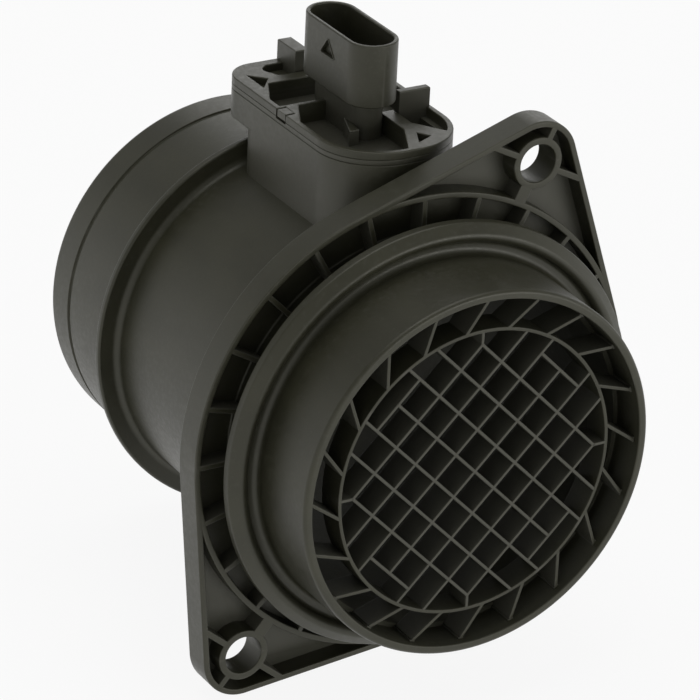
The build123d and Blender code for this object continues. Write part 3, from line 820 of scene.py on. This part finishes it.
@dataclass
class Duct(SubAssembly):
    """Flow tube: spigots, collar, ribbed flange and the tower that holds the module. Sizes in mm."""

    spigot_r: float = 36.0
    bore_r: float = 32.5
    body_r: float = 35.4
    mouth_r: float = 34.25
    lip_y: float = -23.2
    end_y: float = 76.8
    seat_y: float = -15.8
    seat_step: float = 0.9
    throat_y: float = -6.8
    cove: Point = (38.5, -6.0)
    crest: Point = (38.9, -8.9)
    collar_r: float = 42.2
    collar_y: tuple[float, float] = (-6.4, -4.6)
    groove_r: float = 36.6
    ring_r: float = 45.4
    shoulder_r: float = 39.5
    shoulder_y: tuple[float, float] = (49.6, 51.2)
    line_y: tuple[float, float, float, float] = (68.5, 68.6, 69.6, 69.7)
    line_depth: float = 0.35
    wall: float = 1.2
    flange_t: float = 6.0
    floor_y: float = 4.0
    floor_laps: tuple[float, float, float] = (0.6, 0.8, 0.4)
    ribs: int = 24
    rib_t: float = 1.0
    rib_ends: Point = (0.4, 0.6)
    ear_angles: tuple[float, float] = (63.6, 230.2)
    ear_pitch: float = 53.0
    ear_r: float = 8.2
    boss_r: float = 5.1
    bolt_r: float = 3.7
    web_start: float = 4.4
    web_reach: float = 10.8
    neck_reach: float = 8.4
    neck_w: float = 2.6
    slot_half: float = 5.4
    slot_y: tuple[float, float] = (16.4, 45.6)
    slot_r: tuple[float, float] = (4.8, 2.9)
    slot_z: tuple[float, float] = (25.0, 41.0)
    tower_x: float = 2.2
    tower_w: float = 27.0
    tower_front: float = 8.4
    tower_back: float = 50.0
    tower_foot: float = 34.0
    tower_sunk: float = 1.2
    tower_top: float = 48.2
    tower_floor: float = 40.0
    tower_wall: float = 1.6
    wall_lap: float = 0.8
    ledge_low: float = 42.6
    ledge_back: float = 56.9
    nose_r: float = 12.0
    tail_r: float = 6.0
    edge: float = 0.25

    def tower_plan(self, back: float, inset: float = 0.0) -> Loop:
        """Outline of the tower.

        Args:
            back: Where its back edge stands, in mm.
            inset: How far it is drawn in, in mm.

        Returns:
            The outline.
        """
        half = self.tower_w / 2 - inset
        left, right = self.tower_x - half, self.tower_x + half
        nose, tail = self.nose_r - inset, self.tail_r - inset
        return rounded([(left, self.tower_front + inset, nose), (right, self.tower_front + inset, nose),
                        (right, back - inset, tail), (left, back - inset, tail)])

    def blade_slot(self) -> Loop:
        """Outline of the opening that the blade goes through.

        Returns:
            The outline.
        """
        half = self.slot_half
        (front, back), (nose, tail) = self.slot_y, self.slot_r
        return rounded([(-half, front, nose), (half, front, nose), (half, back, tail), (-half, back, tail)])

    def ears(self) -> list[Point]:
        """Centres of the two bolt holes."""
        return [polar(self.ear_pitch, angle) for angle in self.ear_angles]

    def outline(self) -> Loop:
        """Outline of the flange round the duct and its two ears.

        Returns:
            The outline.
        """
        points = circle((0, 0), self.ring_r, 240)
        for ear in self.ears():
            points += circle(ear, self.ear_r, 96)
        return hull(points)

    def shell(self) -> bpy.types.Mesh:
        """Turned tube from the inlet lip to the outlet, with the blade's slot cut in its wall.

        Returns:
            The closed mesh.
        """
        root, floor, top = self.ring_r - self.wall / 2, self.floor_y + LAP, self.flange_t - LAP
        collar_low, collar_high = self.collar_y
        shoulder_low, shoulder_high = self.shoulder_y
        line = self.spigot_r - self.line_depth
        line_a, line_b, line_c, line_d = self.line_y
        ring = Mould()
        ring.turned(rounded([
            (self.mouth_r, self.lip_y, 0.3), (self.spigot_r, self.lip_y, 0.8),
            (self.spigot_r, self.cove[1], 1.3), (*self.cove, 0.8), (*self.crest, 1.2),
            (self.collar_r, collar_low, 0.6), (self.collar_r, collar_high, 0.3),
            (self.groove_r, collar_high, 0.6), (self.groove_r, floor, 0.5), (root, floor, 0), (root, top, 0),
            (self.body_r, top, 1.5), (self.body_r, shoulder_low, 1.4), (self.shoulder_r, shoulder_low, 0.5),
            (self.shoulder_r, shoulder_high, 0.5), (self.spigot_r, shoulder_high, 0.4),
            (self.spigot_r, line_a, 0.1), (line, line_b, 0.1), (line, line_c, 0.1), (self.spigot_r, line_d, 0.1),
            (self.spigot_r, self.end_y, 1.2), (self.bore_r, self.end_y, 0.4), (self.bore_r, self.throat_y, 4.0),
            (self.mouth_r - self.seat_step, self.seat_y, 0.2), (self.mouth_r, self.seat_y, 0.1),
        ], 15.0))
        slot = Mould()
        slot.slab(Sheet.LEVEL, self.blade_slot(), *self.slot_z, 0)
        return cut(ring.mesh("tube"), [slot.mesh("slot")])

    def flange(self, mould: Mould) -> None:
        """Adds the floor plate, rim, ring wall, bosses and the webs of the ears.

        Args:
            mould: Mould of the tube.
        """
        outline, ears = self.outline(), self.ears()
        t, edge, wall = self.flange_t, self.edge, self.wall
        outer_lap, ring_lap, boss_lap = self.floor_laps
        mould.slab(Sheet.ACROSS, outline, 0, t, edge, [drawn_in(outline, wall)])
        holes = [circle((0, 0), self.ring_r - ring_lap, TURN_STEPS)]
        holes += [circle(ear, self.bolt_r + boss_lap) for ear in ears]
        mould.slab(Sheet.ACROSS, drawn_in(outline, outer_lap), self.floor_y, t - LAP / 2, 0, holes)
        mould.slab(Sheet.ACROSS, circle((0, 0), self.ring_r - LAP, TURN_STEPS), 2 * HAIR, t - 1, edge,
                   [circle((0, 0), self.ring_r - wall, TURN_STEPS)])
        for angle, ear in zip(self.ear_angles, ears):
            mould.slab(Sheet.ACROSS, circle(ear, self.boss_r), 0, t, edge, [circle(ear, self.bolt_r)])
            for reach, width, turn in ((self.ear_r - 0.5, wall, 0), (self.web_reach, wall, 90),
                                       (self.web_reach, wall, -90), (self.neck_reach, self.neck_w, 180)):
                start, half = self.web_start, width / 2
                spin = Matrix.Rotation(math.radians(angle + turn), 2)
                web = [tuple(spin @ Vector(p) + Vector(ear))
                       for p in ((start, -half), (reach, -half), (reach, half), (start, half))]
                mould.slab(Sheet.ACROSS, web, 3 * HAIR, t - 1, 0.2)

    def ribs_mesh(self, material: bpy.types.Material, recipe: Recipe) -> bpy.types.Mesh:
        """Ribs across the channel of the flange.

        Args:
            material: Plastic of the tube.
            recipe: Tree that repeats a form round the duct.

        Returns:
            The mesh of all ribs.
        """
        single = Mould()
        half = self.rib_t / 2
        start, end = self.groove_r - self.rib_ends[0], self.ring_r - self.rib_ends[1]
        single.slab(Sheet.ACROSS, [(start, -half), (end, -half), (end, half), (start, half)],
                    LAP, self.floor_y + 0.5, 0.2)
        return recipe.run(single.mesh("rib"), material, Count=self.ribs, First_angle=0.0)

    def tower(self, mould: Mould) -> None:
        """Adds the tower down to the round of the tube, the floor under the plug and the ledge behind.

        Args:
            mould: Mould of the tube.
        """
        wall = Mould()
        outer, inner = self.tower_plan(self.tower_back), self.tower_plan(self.tower_back, self.tower_wall)
        wall.slab(Sheet.LEVEL, outer, self.tower_foot, self.tower_top, self.edge, [inner], 0)
        for vert in wall.form.verts:
            if vert.co.z < (self.tower_foot + 0.5) * MM:
                vert.co.z = math.sqrt(((self.body_r - self.tower_sunk) * MM) ** 2 - vert.co.x ** 2)
        mould.take(wall.mesh("tower"))
        lap = self.wall_lap
        mould.slab(Sheet.LEVEL, drawn_in(outer, lap), self.tower_floor - 1.2, self.tower_floor, 0,
                   [self.blade_slot()])
        left, right = self.tower_x - self.tower_w / 2, self.tower_x + self.tower_w / 2
        start, inner_back, bend = self.tower_back - self.tail_r, self.tower_back - lap, self.tail_r - lap
        mould.slab(Sheet.LEVEL, rounded([
            (left, start, 0), (left + lap, start, 0), (left + lap, inner_back, bend),
            (right - lap, inner_back, bend), (right - lap, start, 0), (right, start, 0),
            (right, self.ledge_back, self.tail_r), (left, self.ledge_back, self.tail_r),
        ]), self.ledge_low, self.tower_top, self.edge)

    def build(self, finish: MouldedPlastic, recipe: Recipe) -> None:
        """Makes the moulded tube and hands it over.

        Args:
            finish: Plastic of the tube.
            recipe: Tree that repeats a form round the duct.
        """
        material = finish.material()
        mould = Mould()
        mould.take(self.shell())
        self.flange(mould)
        self.tower(mould)
        mould.take(self.ribs_mesh(material, recipe))
        self.hand_over("duct_body", mould.mesh("duct_body"), material, "housing", "flow_tube")


@dataclass
class GuardGrid(SubAssembly):
    """Round guard in the mouth: square lattice, ring and slanted vanes. Sizes in mm."""

    ring_r: float = 28.3
    ring_t: float = 0.7
    depth: float = 6.0
    front_y: float = -21.8
    rows: int = 4
    pitch: float = 5.96
    bar: float = 0.6
    bar_sunk: float = 0.05
    proud: float = 0.03
    turn: float = 45.0
    vanes: int = 20
    vane_t: float = 0.65
    vane_root: float = 7.4
    vane_sweep: float = -8.75
    vane_end: float = 0.3
    foot_w: float = 1.1
    foot_t: float = 0.35
    tip_r: float = 34.2
    edge: float = 0.15

    def centre_lines(self) -> bpy.types.Mesh:
        """Lines of the lattice: two outer nodes are bridged, and the corners join the ring.

        Returns:
            A mesh of loose lines.
        """
        reach = self.ring_r - self.ring_t / 2
        rows: list[tuple[Point, Point]] = []
        for k in range(-self.rows, self.rows + 1):
            offset = k * self.pitch
            lengths = {self.rows: 2 * self.pitch, 3: 6 * self.pitch, 0: 2 * self.rows * self.pitch}
            half = lengths.get(abs(k), 2 * math.sqrt(reach ** 2 - offset ** 2)) / 2
            half += self.bar / 2 - self.edge if abs(k) in lengths else 0
            rows += [((-half, offset), (half, offset)), ((offset, -half), (offset, half))]
        corner = 3 * self.pitch * math.sqrt(2)
        rows += [(polar(corner, 45 + 90 * k), polar(reach, 45 + 90 * k)) for k in range(4)]
        spin = Matrix.Rotation(math.radians(self.turn), 2)
        made = bpy.data.meshes.new("lattice lines")
        verts = [(*(spin @ Vector(p) * MM), -self.proud * MM * (k % 2)) for k, row in enumerate(rows) for p in row]
        made.from_pydata(verts, [(2 * k, 2 * k + 1) for k in range(len(rows))], [])
        return made

    def lattice(self, material: bpy.types.Material, recipe: Recipe) -> bpy.types.Mesh:
        """Bars of the lattice, stood across the duct.

        Args:
            material: Plastic of the guard.
            recipe: Tree that makes bars along lines.

        Returns:
            The mesh of all bars.
        """
        flat = recipe.run(self.centre_lines(), material, Width=self.bar * MM,
                          Depth=(self.depth - 2 * self.bar_sunk) * MM, Edge=self.edge * MM)
        middle = (self.front_y + self.depth / 2) * MM
        for vert in flat.vertices:
            x, y, z = vert.co
            vert.co = (x, z + middle, y)
        return flat

    def vane(self) -> bpy.types.Mesh:
        """One slanted vane with its foot on the wall of the mouth.

        Returns:
            The closed mesh.
        """
        single = Mould()
        root = Vector(polar(self.ring_r - self.ring_t / 2, self.vane_root))
        tip = Vector(polar(self.tip_r - self.vane_end, self.vane_root + self.vane_sweep))
        side = (tip - root).normalized().orthogonal() * (self.vane_t / 2)
        low, high = self.front_y + LAP, self.front_y + self.depth
        single.slab(Sheet.ACROSS, [tuple(root - side), tuple(tip - side), tuple(tip + side), tuple(root + side)],
                    low, high, self.edge)
        spread = math.degrees(self.foot_w / 2 / self.tip_r)
        back_r, middle = self.tip_r - self.foot_t, self.vane_root + self.vane_sweep
        foot = [polar(radius, middle + way * spread)
                for radius, way in ((back_r, -1), (self.tip_r, -1), (self.tip_r, 1), (back_r, 1))]
        single.slab(Sheet.ACROSS, foot, low + LAP, high, 0.1)
        return single.mesh("vane")

    def build(self, finish: MouldedPlastic, bars: Recipe, ring: Recipe) -> None:
        """Makes the guard and hands it over.

        Args:
            finish: Plastic of the guard.
            bars: Tree that makes bars along lines.
            ring: Tree that repeats a form round the duct.
        """
        material = finish.material()
        mould = Mould()
        mould.take(self.lattice(material, bars))
        mould.slab(Sheet.ACROSS, circle((0, 0), self.ring_r, 180), self.front_y, self.front_y + self.depth,
                   self.edge, [circle((0, 0), self.ring_r - self.ring_t, 180)])
        mould.take(ring.run(self.vane(), material, Count=self.vanes, First_angle=0.0))
        self.hand_over("guard_grid", mould.mesh("guard_grid"), material, "grid", "inlet_grid")


@dataclass
class SensorModule(SubAssembly):
    """Plug-in module: cored cover plate, connector shroud, tabs, plug and measuring blade. Sizes in mm."""

    duct: Duct = field(default_factory=Duct)
    plate_low: float = 48.2
    plate_top: float = 50.7
    plate_back: float = 56.9
    step_z: float = 48.8
    floor_z: float = 46.9
    pocket_z: float = 49.2
    edge: float = 0.25
    fine_edge: float = 0.12
    lap: float = 0.004
    upper_rim: float = 1.2
    lower_rim: float = 2.5
    cross_y: float = 46.6
    web_y: float = 35.0
    web_t: float = 1.2
    side_web: tuple[float, float] = (5.25, 8.25)
    step_in: Point = (2.2, 26.25)
    left_x: float = -6.7
    nose_web: tuple[Point, Point] = ((1.0, 8.4), (5.25, 17.4))
    notch_web_end: Point = (-11.3, 25.8)
    right_webs: tuple[tuple[Point, Point], ...] = (
        ((8.25, 19.2), (11.25, 15.15)), ((11.25, 15.15), (15.7, 8.4)), ((15.7, 37.4), (11.1, 46.6)))
    notch: tuple[Point, ...] = ((-11.3, 35.4), (-9.4, 35.4), (-9.4, 31.8), (-11.3, 31.8))
    tongue: tuple[Point, ...] = ((-11.2, 32.2), (-9.3, 32.2), (-9.3, 35.05), (-11.2, 35.05))
    back_pocket: tuple[Corner, ...] = ((-2.8, 49.4, 1.2), (7.2, 49.4, 1.2), (9.2, 52.9, 1.5), (7.4, 54.6, 1.0),
                                       (-3.0, 54.6, 1.0), (-4.8, 52.9, 1.5))
    corner_pockets: tuple[tuple[Point, ...], ...] = (
        ((-8.5, 45.2), (-5.7, 48.8), (-8.5, 51.7)), ((12.9, 45.2), (12.9, 51.7), (10.1, 48.8)),
        ((6.75, 15.15), (4.9, 11.2), (8.25, 12.9)))
    post: tuple[Point, ...] = ((-3.4, 22.0), (-1.4, 22.0), (-0.6, 28.0), (-1.2, 28.0))
    post_gap: float = 0.7
    side_lug: tuple[Point, ...] = ((8.6, 24.8), (15.1, 24.8), (15.1, 26.4), (8.6, 26.4))
    back_lug: tuple[Point, ...] = ((0.75, 50.0), (3.65, 50.0), (3.65, 56.9), (0.75, 56.9))
    lug_top: float = 54.6
    shroud: tuple[float, float, float, float] = (2.2, 32.3, 9.9, 24.2)
    shroud_t: float = 0.9
    socket_z: float = 55.4
    shroud_foot: float = 54.2
    shroud_top: float = 66.4
    stem: tuple[float, float] = (6.4, 18.6)
    latch_half: float = 2.9
    latch_drop: tuple[float, float] = (5.7, 1.9)
    latch_rim: float = 0.25
    latch_depth: float = 0.75
    latch_proud: float = 0.15
    plug_gap: float = 1.7
    plug_low: float = 40.3
    plug_foot: float = 1.9
    seal_groove: tuple[float, float] = (1.5, 4.1)
    blade_y: tuple[float, float] = (16.8, 45.2)
    blade_half: float = 5.0
    blade_tip: float = -8.0
    blade_tail_r: float = 2.5
    seat_rim: float = 0.8
    seat_x: float = 3.8
    pocket: tuple[float, float, float, float] = (22.3, 8.0, 41.7, 38.0)
    channel: tuple[float, float, float, float] = (22.8, -6.2, 40.2, 5.4)
    channel_w: tuple[float, float] = (4.4, 4.0)

    def recesses(self, inset: float) -> list[Loop]:
        """Openings of the cover plate: ahead of the left web, and round behind the shroud.

        Args:
            inset: Width of the rim round them, in mm.

        Returns:
            The two outlines.
        """
        left, right = self.side_web
        far = self.duct.ledge_back
        plan = self.duct.tower_plan(self.duct.tower_back, inset)
        front = clipped(plan, (far, self.web_y), (-far, self.web_y))
        for line in (((left, 0), (left, far)), self.nose_web, ((self.left_x, self.web_y), self.notch_web_end)):
            front = clipped(front, *line)
        side = clipped(plan, (right, far), (right, 0))
        side = clipped(side, (far, self.cross_y), (-far, self.cross_y))
        for line in self.right_webs:
            side = clipped(side, *line)
        low = min(range(len(side)), key=lambda k: (abs(side[k][0] - right) > 0.01, side[k][1]))
        side = side[low:] + side[:low]
        edge = self.duct.tower_x - self.duct.tower_w / 2 + inset
        slope = self.cross_y - 2 * (self.left_x - edge)
        web, inner, bend = self.web_y + self.web_t, right - self.step_in[0], self.step_in[1]
        around = [(self.left_x, self.cross_y), (edge, slope), (edge, web),
                  (inner, web), (inner, bend), (right, bend)]
        return [front, side + around]

    def cover_plate(self, mould: Mould) -> None:
        """Adds the plate with its recesses, pockets, webs and the notch in its rim.

        Args:
            mould: Mould of the module.
        """
        plan = self.duct.tower_plan(self.plate_back)
        upper = [*plan, *self.notch]
        wide, narrow = self.recesses(self.upper_rim), self.recesses(self.lower_rim)
        lap, edge, fine = self.lap, self.edge, self.fine_edge
        pockets = [rounded(self.back_pocket, 15), *(list(corner) for corner in self.corner_pockets)]
        mould.slab(Sheet.LEVEL, upper, self.pocket_z, self.plate_top, edge, [*wide, *pockets], 0.15, (0, edge))
        mould.slab(Sheet.LEVEL, upper, self.step_z, self.pocket_z + lap, fine, wide, 0, (0, 0))
        mould.slab(Sheet.LEVEL, plan, self.plate_low, self.step_z + lap, 0, narrow, fine, (0, 0))
        mould.slab(Sheet.LEVEL, list(self.tongue), self.pocket_z, self.plate_top - 0.05, fine)

    def plug(self, mould: Mould) -> None:
        """Adds the plug in the tower, with the groove for its seal and the floor of the recesses.

        Args:
            mould: Mould of the module.
        """
        skin = self.duct.tower_plan(self.duct.tower_back, self.plug_gap)
        depth, top = self.seal_groove
        low, floor = self.plug_low, self.floor_z
        mould.slab(Sheet.LEVEL, skin, low, low + self.plug_foot, 0.2)
        mould.slab(Sheet.LEVEL, drawn_in(skin, depth), low + 1.5, floor - 1, 0)
        mould.slab(Sheet.LEVEL, skin, low + top, floor, 0)
        mould.slab(Sheet.LEVEL, skin, floor - 0.5, self.plate_low + self.lap, 0, self.recesses(self.lower_rim))

    def round_ended(self, breadth: float, long: float) -> Loop:
        """Outline with round ends about the middle of the connector.

        Args:
            breadth: Its width in mm.
            long: Its length in mm.

        Returns:
            The outline.
        """
        x, y = self.shroud[:2]
        run = (long - breadth) / 2
        return hull((x + dx, y + way * run + dy) for way in (-1, 1) for dx, dy in circle((0, 0), breadth / 2, 96))

    def connector(self, mould: Mould) -> None:
        """Adds the shroud on its stem, with its socket and latch, the post and the two tabs beside it.

        Args:
            mould: Mould of the module.
        """
        x, y, width, length = self.shroud
        foot, top, thin = self.shroud_foot, self.shroud_top, 2 * self.shroud_t
        base = self.floor_z - 0.2
        mould.slab(Sheet.LEVEL, self.round_ended(*self.stem), base, foot + 0.3, 0)
        mould.slab(Sheet.LEVEL, list(self.post), base, self.plate_top - self.post_gap, 0.2)
        mould.slab(Sheet.LEVEL, self.round_ended(width - 1, length - 1), foot + 2 * LAP, self.socket_z, 0)
        wall = Mould()
        wall.slab(Sheet.LEVEL, self.round_ended(width, length), foot, top, 0.3,
                  [self.round_ended(width - thin, length - thin)])
        side, half = x - width / 2, self.latch_half
        low, high = (top - drop for drop in self.latch_drop)
        latch = rounded([(y - half, low, 0.4), (y + half, low, 0.4), (y, high, 0.4)], 20)
        core = Mould()
        core.slab(Sheet.ALONG, drawn_in(latch, self.latch_rim), side - 1, side + self.latch_depth, 0)
        mould.take(cut(wall.mesh("shroud wall"), [core.mesh("latch core")]))
        mould.slab(Sheet.ALONG, latch, side - self.latch_proud, side + 0.3, 0,
                   [drawn_in(latch, self.latch_rim + LAP)], 0.1)
        mould.slab(Sheet.LEVEL, list(self.side_lug), base, self.lug_top, self.edge)
        mould.slab(Sheet.LEVEL, list(self.back_lug), self.plate_low + 0.3, self.lug_top, self.edge)

    def blade(self) -> bpy.types.Mesh:
        """Blade in the air flow, with the seats of its covers, circuit pocket and measuring channel.

        Returns:
            The closed mesh.
        """
        front, back = self.blade_y
        half, nose, tail = self.blade_half, self.blade_half - 0.2, self.blade_tail_r
        stock = Mould()
        stock.slab(Sheet.LEVEL, rounded([(-half, front, nose), (half, front, nose),
                                         (half, back, tail), (-half, back, tail)]),
                   self.blade_tip, self.plug_low + 0.5, 0, (), 1.0)
        rim, seat = self.seat_rim, self.seat_x
        wide, narrow = self.channel_w
        py, pz, qy, qz = self.pocket
        cy, cz, dy, dz = self.channel
        openings = (
            (py - rim, pz - rim, qy + rim, qz + rim, 1.8, seat, 6.0),
            (cy - rim, cz - rim, dy + rim, dz + rim, 1.8, seat, 6.0),
            (py, pz, qy, qz, 1.0, -1.5, 4.5),
            (cy, cz, dy, cz + wide, 0.9, -3.4, 4.5),
            (cy + 0.02, dz - narrow, dy - 0.02, dz, 0.9, -3.38, 4.52),
            (dy - narrow, cz + 0.02, dy - 0.04, dz - 0.02, 0.9, -3.36, 4.54),
            (front - 1, cz + 0.1, cy + 2, cz + 4.3, 0.3, -3.3, 3.7),
            (dy - 2, cz + 1, back + 1, cz + 3.4, 0.3, -3.2, 3.6),
        )
        tools = []
        for y0, z0, y1, z1, radius, low, high in openings:
            tool = Mould()
            corners = [(y0, z0, radius), (y1, z0, radius), (y1, z1, radius), (y0, z1, radius)]
            tool.slab(Sheet.ALONG, rounded(corners, 22.5), low, high, 0)
            tools.append(tool.mesh("tool"))
        return cut(stock.mesh("blade"), tools)

    def build(self, finish: MouldedPlastic) -> None:
        """Makes the moulded module and hands it over.

        Args:
            finish: Plastic of the module.
        """
        mould = Mould()
        self.cover_plate(mould)
        self.plug(mould)
        self.connector(mould)
        mould.take(self.blade())
        self.hand_over("module_body", mould.mesh("module_body"), finish.material(), "module", "sensor_module")


@dataclass
class InnerParts(SubAssembly):
    """Seal, covers, circuit and contacts, whose solids are shown as they are."""

    terminals: int = 5

    def finishes(self) -> dict[str, bpy.types.Material]:
        """Makes the materials of the nodes that are shown as they are.

        Returns:
            The material of each node.
        """
        cover = MouldedPlastic("cover plastic", grain_mm=0.2).material()
        tin = PlatedMetal("tin plate", (0.80, 0.79, 0.76), (0.68, 0.67, 0.63)).material()
        sheet = PlatedMetal("bare aluminium", (0.72, 0.72, 0.74), (0.6, 0.6, 0.62), (0.3, 0.5), (1, 14, 1))
        found = {"module_seal": Rubber("seal rubber").material(), "bypass_cover": cover,
                 "electronics_cover": cover, "base_plate": sheet.material(),
                 "circuit_board": CeramicBoard("fired ceramic board").material(), "thermistor_leads": tin}
        found.update({f"terminal_{k + 1}": tin for k in range(self.terminals)})
        small = {
            "control_chip": SmallPart("moulded chip package", (0.012, 0.012, 0.013), (0.03, 0.03, 0.032)),
            "chip_holder": SmallPart("chip holder plastic", (0.02, 0.02, 0.02), (0.05, 0.05, 0.048), (0.35, 0.5)),
            "board_capacitors": SmallPart("tan ceramic", (0.38, 0.25, 0.14), (0.46, 0.33, 0.2), (0.4, 0.55), 0.08),
            "board_resistors": SmallPart("black resistor glass", (0.015, 0.015, 0.018), (0.05, 0.05, 0.055),
                                         (0.12, 0.25)),
            "sensor_chip": SmallPart("polished silicon", (0.05, 0.055, 0.08), (0.09, 0.1, 0.13), (0.06, 0.12)),
            "thermistor": SmallPart("epoxy bead", (0.03, 0.03, 0.03), (0.07, 0.07, 0.07), (0.2, 0.3)),
        }
        found.update({name: finish.material() for name, finish in small.items()})
        return found

    def build(self) -> None:
        """Gives each node its material."""
        for name, material in self.finishes().items():
            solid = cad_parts[name]
            solid.data.materials.clear()
            solid.data.materials.append(material)
            log.info("%s: shown as it is, %s", name, material.name)


@dataclass
class Studio:
    """Pale floor, soft lamps and the camera. Lengths in metres."""

    place: tuple[float, float, float] = (-0.3891835, -0.6234095, 0.3669983)
    turn: tuple[float, float, float] = (64.320873, -2.483687, -29.824299)
    lens: float = 230.357
    sensor: float = 36.0
    clip: tuple[float, float] = (0.05, 20.0)
    aim: tuple[float, float, float] = (0.0, 0.02, 0.0)
    floor_gap: float = 0.0004
    floor_reach: float = 3.0
    backdrop: Colour = (0.93, 0.93, 0.93)
    backdrop_cloud: Colour = (0.91, 0.91, 0.91)
    fall: tuple[float, float, float, float] = (0.0, 0.55, 0.95, 0.28)
    glow: float = 0.90

    def camera(self) -> None:
        """Long lens at the viewing angle."""
        data = bpy.data.cameras.new("camera")
        data.lens, data.sensor_width = self.lens, self.sensor
        data.clip_start, data.clip_end = self.clip
        eye = linked("camera", data)
        eye.location = self.place
        eye.rotation_euler = [math.radians(a) for a in self.turn]
        bpy.context.scene.camera = eye

    def lamp(self, name: str, place: Sequence[float], power: float, width: float, height: float) -> None:
        """Adds a soft rectangular lamp that faces the object.

        Args:
            name: Name of the lamp.
            place: Where it stands.
            power: Its power in watts.
            width: Its width.
            height: Its height.
        """
        data = bpy.data.lights.new(name, "AREA")
        data.shape, data.size, data.size_y, data.energy = "RECTANGLE", width, height, power
        made = linked(name, data)
        made.location = place
        aim = Vector(self.aim) - Vector(place)
        made.rotation_euler = aim.to_track_quat("-Z", "Y").to_euler()

    def floor(self) -> None:
        """Wide pale floor under the object, white where it is seen and still with the object's shadow."""
        level, reach = CAD_BOX[0].z - self.floor_gap, self.floor_reach
        sheet = bpy.data.meshes.new("floor")
        corners = ((-reach, -reach), (reach, -reach), (reach, reach), (-reach, reach))
        sheet.from_pydata([(x, y, level) for x, y in corners], [], [(0, 1, 2, 3)])
        shader = Shader("pale floor")
        cloud = shader.between(shader.noise(60.0, 2.0), 0, 1)
        shader.close(Base_Color=shader.mixed(cloud, rgba(self.backdrop), rgba(self.backdrop_cloud)), Roughness=0.9)
        path = shader.node("ShaderNodeLightPath").outputs
        seen = path["Is Camera Ray"]
        for ray in ("Is Glossy Ray", "Is Transmission Ray"):
            seen = shader.node("ShaderNodeMath", {0: seen, 1: path[ray]}, operation="MAXIMUM").outputs[0]
        part = shader.node("ShaderNodeMath", {0: seen, 1: self.glow}, operation="MULTIPLY")
        glow = shader.node("ShaderNodeEmission", {"Color": WHITE, "Strength": 1.0})
        blend = shader.node("ShaderNodeMixShader", {0: part.outputs[0], 1: shader.surface.outputs[0],
                                                    2: glow.outputs[0]})
        out = next(n for n in shader.tree.nodes if n.type == "OUTPUT_MATERIAL")
        shader.feed(out.inputs["Surface"], blend.outputs[0])
        sheet.materials.append(shader.material)
        linked("floor", sheet)

    def sky(self) -> None:
        """Plain sky, nearly white at the horizon and falling gently upwards, the same for every ray."""
        world = bpy.data.worlds.new("sky")
        bpy.context.scene.world = world
        world.use_nodes = True
        tree = NodeTree(world.node_tree)
        way = tree.node("ShaderNodeTexCoord").outputs["Generated"]
        rise = tree.node("ShaderNodeSeparateXYZ", {0: way}).outputs["Z"]
        ends = dict(zip(("From Min", "From Max", "To Min", "To Max"), self.fall))
        fall = tree.node("ShaderNodeMapRange", {"Value": rise, **ends})
        ground = world.node_tree.nodes["Background"].inputs
        tree.feed(ground["Strength"], fall.outputs["Result"])
        tree.feed(ground["Color"], WHITE)

    def build(self) -> None:
        """Sets up floor, sky, lamps and camera."""
        bpy.context.scene.view_settings.view_transform = "Standard"
        self.floor()
        self.sky()
        self.lamp("front softbox", (0.55, -0.95, 0.14), 2.5, 0.8, 0.3)
        self.lamp("overhead softbox", (0.0, 0.1, 0.95), 3.0, 0.8, 0.8)
        self.lamp("back softbox", (0.5, 0.85, 0.45), 1.0, 0.6, 0.4)
        self.camera()


def main() -> None:
    """Builds the sub-assemblies in order."""
    logging.basicConfig(level=logging.INFO, format="%(name)s: %(message)s")
    ring, bars = ring_recipe(), bar_recipe()
    duct = Duct()
    duct.build(MouldedPlastic("duct plastic", dull_inside=0.35), ring)
    GuardGrid().build(MouldedPlastic("guard plastic", grain_mm=0.22, dull_inside=0.08), bars, ring)
    SensorModule(duct=duct).build(MouldedPlastic("module plastic", colour=(0.025, 0.0248, 0.0155)))
    InnerParts().build()
    Studio().build()


if __name__ == "__main__":
    main()
